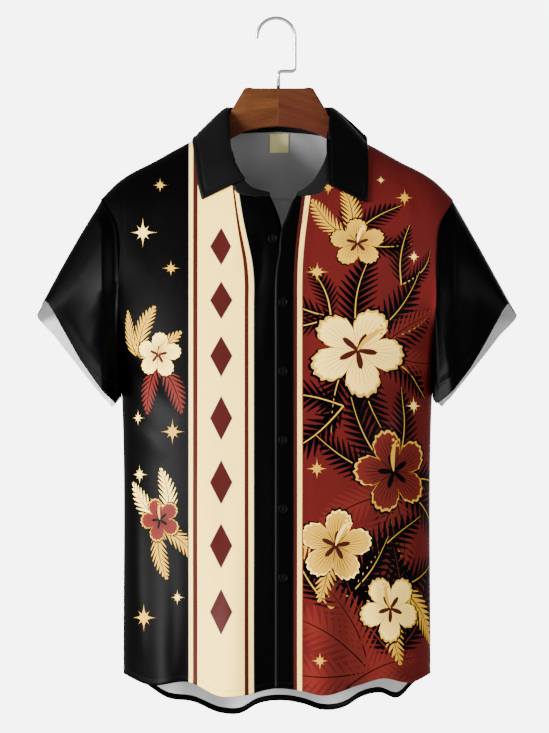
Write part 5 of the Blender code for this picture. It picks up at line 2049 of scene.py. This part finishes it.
@dataclass(frozen=True)
class Hanger:
    """The wooden hanger and its wire hook."""

    torso: Torso
    x: float = 3.5
    top_rows: Rows = ((0, -87.8), (30, -87.8), (43, -87.8), (44.6, -88.8), (46, -91.2),
                      (50, -98), (58, -111.6), (66.2, -125.4), (70.5, -133.2), (74, -140.5),
                      (77, -146), (90, -152.5), (230, -230))
    bottom_rows: Rows = ((0, -136.8), (22.5, -138.9), (45, -144.5), (63, -153.5), (113, -183),
                         (153, -204), (205, -234))
    half_thick: float = 7
    corner: float = 2.6
    end: float = 204
    end_round: float = 9
    arm_start: float = 70
    clear: float = 1.45
    wire: float = 4.5
    hook_radius: float = 24.3
    hook_bend: float = 4.5
    hook_shoulder: float = -66
    shank_x: float = 3.1
    shank_end: float = -96

    def sections(self, out: Array, side: int, corner_points: int = 6) -> Array:
        """Rounded rectangles across the wood.

        Args:
            out: Their distances from the wood's middle.
            side: 1 towards the viewer's right and -1 towards the left.
            corner_points: The number of points of each corner.

        Returns:
            The points, a row for each rectangle.
        """
        x = self.x + side * out
        inset = self.end - out
        shrink = np.sqrt(np.clip(1 - np.clip(1 - inset / self.end_round, 0, 1) ** 2, 0.02, 1))
        limit = np.where(out > self.arm_start, self.torso.shoulder(x) - self.clear, 0)
        top = np.minimum(curve(out, self.top_rows), limit)
        bottom = curve(out, self.bottom_rows)
        middle, tall = (top + bottom) / 2, (top - bottom) / 2 * shrink
        half = self.half_thick * shrink
        corner = self.corner * shrink
        quarter = np.linspace(0, math.pi / 2, corner_points)
        parts = []
        for k, (sy, sz) in enumerate(((1, 1), (-1, 1), (-1, -1), (1, -1))):
            a = quarter + k * math.pi / 2
            y = sy * (half - corner)[:, None] + corner[:, None] * np.cos(a)
            z = middle[:, None] + sz * (tall - corner)[:, None] + corner[:, None] * np.sin(a)
            parts.append(np.stack([np.broadcast_to(x[:, None], y.shape), y, z], -1))
        return np.concatenate(parts, axis=1)

    def wood(self, finish: Material) -> Object:
        """The wood, two arms and an arched middle, with rounded ends."""
        near = np.linspace(0, 96, 97)
        turn = np.linspace(0.08, 1, 14) * math.pi / 2
        far = np.concatenate([np.linspace(99, self.end - self.end_round - 1, 34),
                              self.end - self.end_round * (1 - np.sin(turn))])
        out = np.concatenate([near, far[1:]])
        right = self.sections(out, 1)
        left = self.sections(out[1:], -1)[::-1]
        rings = np.concatenate([left, right])
        vertices = np.concatenate([rings.reshape(-1, 3), rings[:1].mean(axis=1),
                                   rings[-1:].mean(axis=1)])
        index, loop = tube(rings)
        tips = index.size, index.size + 1
        faces = tuples(quads(loop, loop))
        faces += [(tips[0], a, b) for a, b in zip(loop[0, :-1].tolist(), loop[0, 1:].tolist())]
        faces += [(tips[1], b, a) for a, b in zip(loop[-1, :-1].tolist(), loop[-1, 1:].tolist())]
        return solid("hanger_wood_lacquered", vertices, faces, finish, "hanger_wood")

    def hook_path(self) -> Array:
        """The wire's centre line: three-quarter ring, drop, two bends and the shank."""

        def bend(cx: float, cz: float, radius: float, start: float, stop: float,
                 steps: int) -> Array:
            """An arc round (cx, cz) between two angles in degrees."""
            turn = np.radians(np.linspace(start, stop, steps))
            return np.stack([cx + radius * np.cos(turn), 0 * turn, cz + radius * np.sin(turn)], -1)

        crown = self.wire / 2 - self.hook_radius
        corner = self.hook_shoulder + self.hook_bend
        return np.concatenate([
            bend(0, crown, self.hook_radius, 182, 0, 60),
            bend(self.hook_radius - self.hook_bend, corner, self.hook_bend, 0, -90, 14),
            bend(self.shank_x + self.hook_bend, self.hook_shoulder - self.hook_bend,
                 self.hook_bend, 90, 180, 14),
            [[self.shank_x, 0, self.shank_end]],
        ])

    def hook(self, finish: Material) -> Object:
        """The wire hook, a round section carried along its path, with a rounded tip."""
        path = self.hook_path()
        start = unit(path[0] - path[1])
        steps = np.linspace(1, 0, 6)[:-1]
        tip = path[0] + start * (self.wire / 2 * 0.55) * np.sin(steps * math.pi / 2)[:, None]
        radius = np.concatenate([np.cos(steps * math.pi / 2) * self.wire / 2,
                                 np.full(len(path), self.wire / 2)])
        radius[0] = 0.12
        path = np.concatenate([tip, path])
        along = unit(np.gradient(path, axis=0))
        turn = np.linspace(0, 2 * math.pi, 28, endpoint=False)
        side = np.array([0, 1.0, 0])
        up = np.cross(along, side)
        rings = path[:, None] + radius[:, None, None] * (
            np.cos(turn)[None, :, None] * side + np.sin(turn)[None, :, None] * up[:, None])
        index, loop = tube(rings)
        faces = tuples(quads(loop)) + tuples(np.stack([index[0][::-1], index[-1]]))
        return solid("hanger_hook_wire", rings.reshape(-1, 3), faces, finish, "hanger_hook")


@dataclass(frozen=True)
class Studio:
    """A pale floor far below, a pale even surround, soft lights and the camera."""

    floor_z: float = -1450
    floor_radius: float = 2400
    floor_thick: float = 20
    camera_at: tuple[float, float, float] = (-0.0019, -20.0, -0.4442)
    lens: float = 766.8
    surround: float = 6.5
    fill: float = 0.5
    # name, place, aim, size and power of each lamp
    lamps: tuple[tuple[str, Colour, Colour, float, float], ...] = (
        ("key", (-3.9, -2.7, 0.1), (0, 0, -0.45), 1.8, 1060),
        ("side", (3.4, -3.0, 0.8), (0, 0, -0.5), 2.0, 140),
        ("left", (-4.2, -0.5, 0.6), (0, 0, -0.3), 1.6, 110),
        ("rear", (0.6, 3.9, 0.4), (0, 0, -0.4), 2.4, 60),
    )

    def floor(self, count: int = 128) -> None:
        """A round floor with closed edges."""
        turn = np.linspace(0, 2 * math.pi, count, endpoint=False)
        x, y = self.floor_radius * np.cos(turn), self.floor_radius * np.sin(turn)
        rings = [np.stack([x, y, np.full(count, z)], -1)
                 for z in (self.floor_z, self.floor_z - self.floor_thick)]
        faces = [tuple(range(count)), tuple(range(2 * count - 1, count - 1, -1))]
        faces += [(i, count + i, count + (i + 1) % count, (i + 1) % count) for i in range(count)]
        solid("floor", np.concatenate(rings), faces, PALE_FLOOR.make())

    def light(self, name: str, at: Colour, aim: Colour, size: float, power: float) -> None:
        """A square soft light at a place, aimed at a point."""
        lamp = bpy.data.lights.new(name, "AREA")
        lamp.size, lamp.energy = size, power
        made = linked(name, lamp)
        made.location = at
        x, y, z = np.array(aim) - np.array(at)
        made.rotation_euler = (math.pi / 2 + math.atan2(z, math.hypot(x, y)), 0,
                               math.atan2(y, x) - math.pi / 2)

    def surroundings(self) -> None:
        """A white world that is brighter to the camera than as a light."""
        world = bpy.data.worlds.new("surround")
        world.use_nodes = True
        bpy.context.scene.world = world
        g, nodes = Graph(world.node_tree), world.node_tree.nodes
        white = {"Color": (1.0, 1.0, 1.0)}
        lit = g.add("Background", {**white, "Strength": self.fill})
        seen = g.add("Background", {**white, "Strength": self.surround})
        g.put(nodes["World Output"].inputs[0],
              g.add("MixShader", {0: g.add("LightPath"), 1: lit, 2: seen}))

    def build(self) -> None:
        """The whole studio."""
        self.floor()
        self.surroundings()
        for lamp in self.lamps:
            self.light(*lamp)
        lens = bpy.data.cameras.new("camera")
        lens.sensor_width, lens.lens, lens.clip_end = 36, self.lens, 100
        made = linked("camera", lens)
        made.location, made.rotation_euler = self.camera_at, (math.pi / 2, 0, 0)
        bpy.context.scene.camera = made


@dataclass(frozen=True)
class Wardrobe:
    """The two printed cloths of the shirt."""

    effects: Effects
    cut: CutCloth

    def on_cloth(self, x: float) -> float:
        """Length over the cloth to a position along x at the front."""
        return float(self.cut.across(np.array([x]), Face.FRONT)[0])

    def printed(self, name: str, dye: Dye, stripes: Sequence[tuple[float, Dye]],
                motifs: Sequence[Star | Palm | Hibiscus], **more: object) -> Material:
        """A printed cloth whose stripes and motifs are placed along x at the front."""
        cloth = Printed(name, dye, stripes=tuple((self.on_cloth(x), ink) for x, ink in stripes),
                        motifs=tuple(replace(motif, u=self.on_cloth(motif.u)) for motif in motifs),
                        **more)
        return cloth.make(self.effects)

    def viewer_left(self) -> Material:
        """The right front: black, a striped cream panel with diamonds, stars and leaves."""
        stripes = ((-190.0, BLACK), (-110.8, CREAM), (-105.8, RED), (-99.9, CREAM), (-40.1, RED),
                   (-34.8, CREAM), (-28.7, BLACK))
        motifs = (
            Star(-148, 96, 13, GOLD), Star(-170, 22, 26, CREAM), Star(-134, -34, 15, GOLD),
            Palm(-176, -170, 84, 64, GOLD, BLACK, (-34, 6, 44), 0.17, 9),
            Palm(-150, -178, 78, -74, BRIGHT, BLACK, (-30, 10), 0.18, 9),
            Hibiscus(-150, -166, 33, 12, CREAM, CREAM, RED),
            Star(-176, -252, 12, CREAM), Star(-132, -270, 19, GOLD),
            Palm(-138, -392, 82, 128, CREAM, BLACK, (-30, 8), 0.17, 9),
            Palm(-150, -396, 74, -52, GOLD, BLACK, (-28, 14), 0.17, 9),
            Hibiscus(-148, -386, 30, 40, BRIGHT, GOLD, BLACK, RED),
            Star(-174, -326, 15, CREAM), Star(-126, -486, 11, CREAM), Star(-168, -512, 21, GOLD),
        )
        return self.printed("print_viewer_left", BLACK, stripes, motifs,
                            diamonds=self.on_cloth(-69.8),
                            motif_range=(-400, self.on_cloth(-112.5)))

    def viewer_right(self) -> Material:
        """The left front: a black placket, two stripes and a red panel of flowers and leaves."""
        stripes = ((-20.0, BLACK), (22.6, RED), (27.1, CREAM), (33.1, Dye.PANEL_RED))
        motifs = (
            Star(58, 92, 15, GOLD), Star(164, 76, 17, GOLD), Star(134, 104, 8, CREAM),
            Palm(92, 10, 96, 20, BLACK, GOLD, (-24, 16, 58)),
            Palm(96, 14, 88, 128, GOLD, BLACK, (-30, 8), 0.17),
            Palm(160, -60, 96, 74, BLACK, GOLD, (-34, 8)),
            Palm(70, -110, 92, 150, BLACK, GOLD, (-40, 0, 40)),
            Palm(104, -150, 150, 62, BLACK, GOLD, (-40, -12, 20), 0.19, 13),
            Palm(104, -150, 140, -66, BLACK, GOLD, (-40, -6, 30), 0.19, 13),
            Palm(86, -236, 120, 204, BLACK, GOLD, (-30, 12)),
            Palm(130, -160, 118, 12, BRIGHT, BLACK, (-20, 18), 0.17, 12),
            Palm(150, -330, 130, 118, BLACK, GOLD, (-34, 0, 34), 0.19, 13),
            Palm(144, -336, 140, -40, BLACK, GOLD, (-36, 0, 34), 0.19, 13),
            Palm(150, -350, 128, 236, BRIGHT, BLACK, (-30, 6, 40), 0.19, 13),
            Palm(96, -480, 150, 24, BLACK, GOLD, (-36, -8, 20), 0.20, 14),
            Palm(70, -500, 130, 80, BLACK, GOLD, (-30, 6, 38), 0.19, 13),
            Palm(150, -560, 140, 96, BLACK, BRIGHT, (-40, -6, 26), 0.20, 14),
            Palm(120, -580, 150, 160, BRIGHT, BLACK, (-40, -12, 16), 0.20, 14),
            Palm(90, -600, 120, -14, BRIGHT, BLACK, (-30, 4, 34), 0.20, 14),
            Palm(150, -470, 110, -60, GOLD, BLACK, (-24, 14), 0.16, 11),
            Palm(64, -400, 96, 250, GOLD, BLACK, (-26, 14), 0.16, 11),
            Star(176, -16, 13, CREAM), Star(52, -40, 18, GOLD), Star(176, -236, 15, CREAM),
            Hibiscus(104, 6, 38, 20, GOLD, GOLD, RED, RED, CREAM),
            Hibiscus(104, -160, 66, -8, CREAM, GOLD, RED, GOLD),
            Hibiscus(150, -322, 56, 34, BRIGHT, GOLD, BLACK, BLACK),
            Hibiscus(76, -420, 48, 10, GOLD, CREAM, RED, RED, CREAM),
            Hibiscus(146, -500, 44, 52, CREAM, GOLD, RED, GOLD),
            Star(52, -318, 16, GOLD), Star(56, -566, 13, GOLD),
        )
        return self.printed("print_viewer_right", Dye.PANEL_RED, stripes, motifs,
                            motif_range=(self.on_cloth(34.6), 400))


def declare(pieces: Sequence[Object]) -> None:
    """Let finished pieces ride on the body, and log the number of faces of each."""
    for piece in pieces:
        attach(piece, BODY)
        log.info("%s: %d faces", piece.name, len(piece.data.polygons))


def main() -> None:
    """Build every sub-assembly in order and report its pieces."""
    logging.basicConfig(level=logging.INFO, format="%(message)s")
    torso = Torso()
    cut = CutCloth(torso)
    effects = Effects()
    wardrobe = Wardrobe(effects, cut)
    black = Cloth("black_cloth", BLACK).make(effects)
    pale = Cloth("sleeve_lining", Dye.PALE, rough=0.7).make(effects)
    # the unprinted side with painted shade high up inside the shirt
    lining = PaintedShadeLining("body_lining_painted_shade", Dye.PALE, rough=0.7).make(effects)
    matt = Cloth("folded_edge", BLACK, rough=0.8, gloss=0.0).make(effects)
    label = Cloth("label_weave", Dye.LABEL, rough=0.75, pitch=0.0009).make(effects)
    black_thread = BLACK_THREAD.make()

    fronts = Fronts(torso, cut).build(
        {Side.VIEWER_RIGHT: wardrobe.viewer_right(), Side.VIEWER_LEFT: wardrobe.viewer_left()},
        lining, {Side.VIEWER_LEFT: matt}, black_thread)
    declare(fronts[:1])
    declare(fronts[1:])
    # the back's unprinted side with painted shade high up: darker on the viewer's left and beyond a
    # slanted line on the right
    behind = PaintedShadeLining("back_lining_painted_shade", Dye.PALE, rough=0.7, painted_shade_high=Dye.NECK, painted_shade_beside=Dye.PAINTED_SHADE_ON_LIT,
                    aside=Dye.DIM)
    back = Back(torso, cut).build(black, behind.make(effects), black_thread)
    declare(back)
    sleeves = Sleeves(torso).build(black, pale, black_thread)
    declare(sleeves)
    # black with painted light: the leaf a little lighter on the viewer's left, the stand lighter on
    # both sides and most on the viewer's right
    stiff = PaintedLightHalved("stiffened_black_painted_light", Dye.PAINTED_LIGHT_BLACK, gloss=0.05).make(effects)
    grey = PaintedLightHalved("stand_painted_light", Dye.PAINTED_LIGHT_BLACK, gloss=0.05, other=Dye.PAINTED_LIGHT_GREY).make(effects)
    collar = Collar(torso).build(stiff, grey, black_thread)
    declare(collar)
    declare(Buttons(torso).build(BUTTON_PLASTIC.make(), black_thread))
    neck_label = NeckLabel(torso).build(label, CREAM_THREAD.make())
    declare(neck_label)
    hanger = Hanger(torso)
    declare([hanger.wood(Lacquered().make())])
    declare([hanger.hook(DRAWN_STEEL.make())])
    Studio().build()


if __name__ == "__main__":
    main()
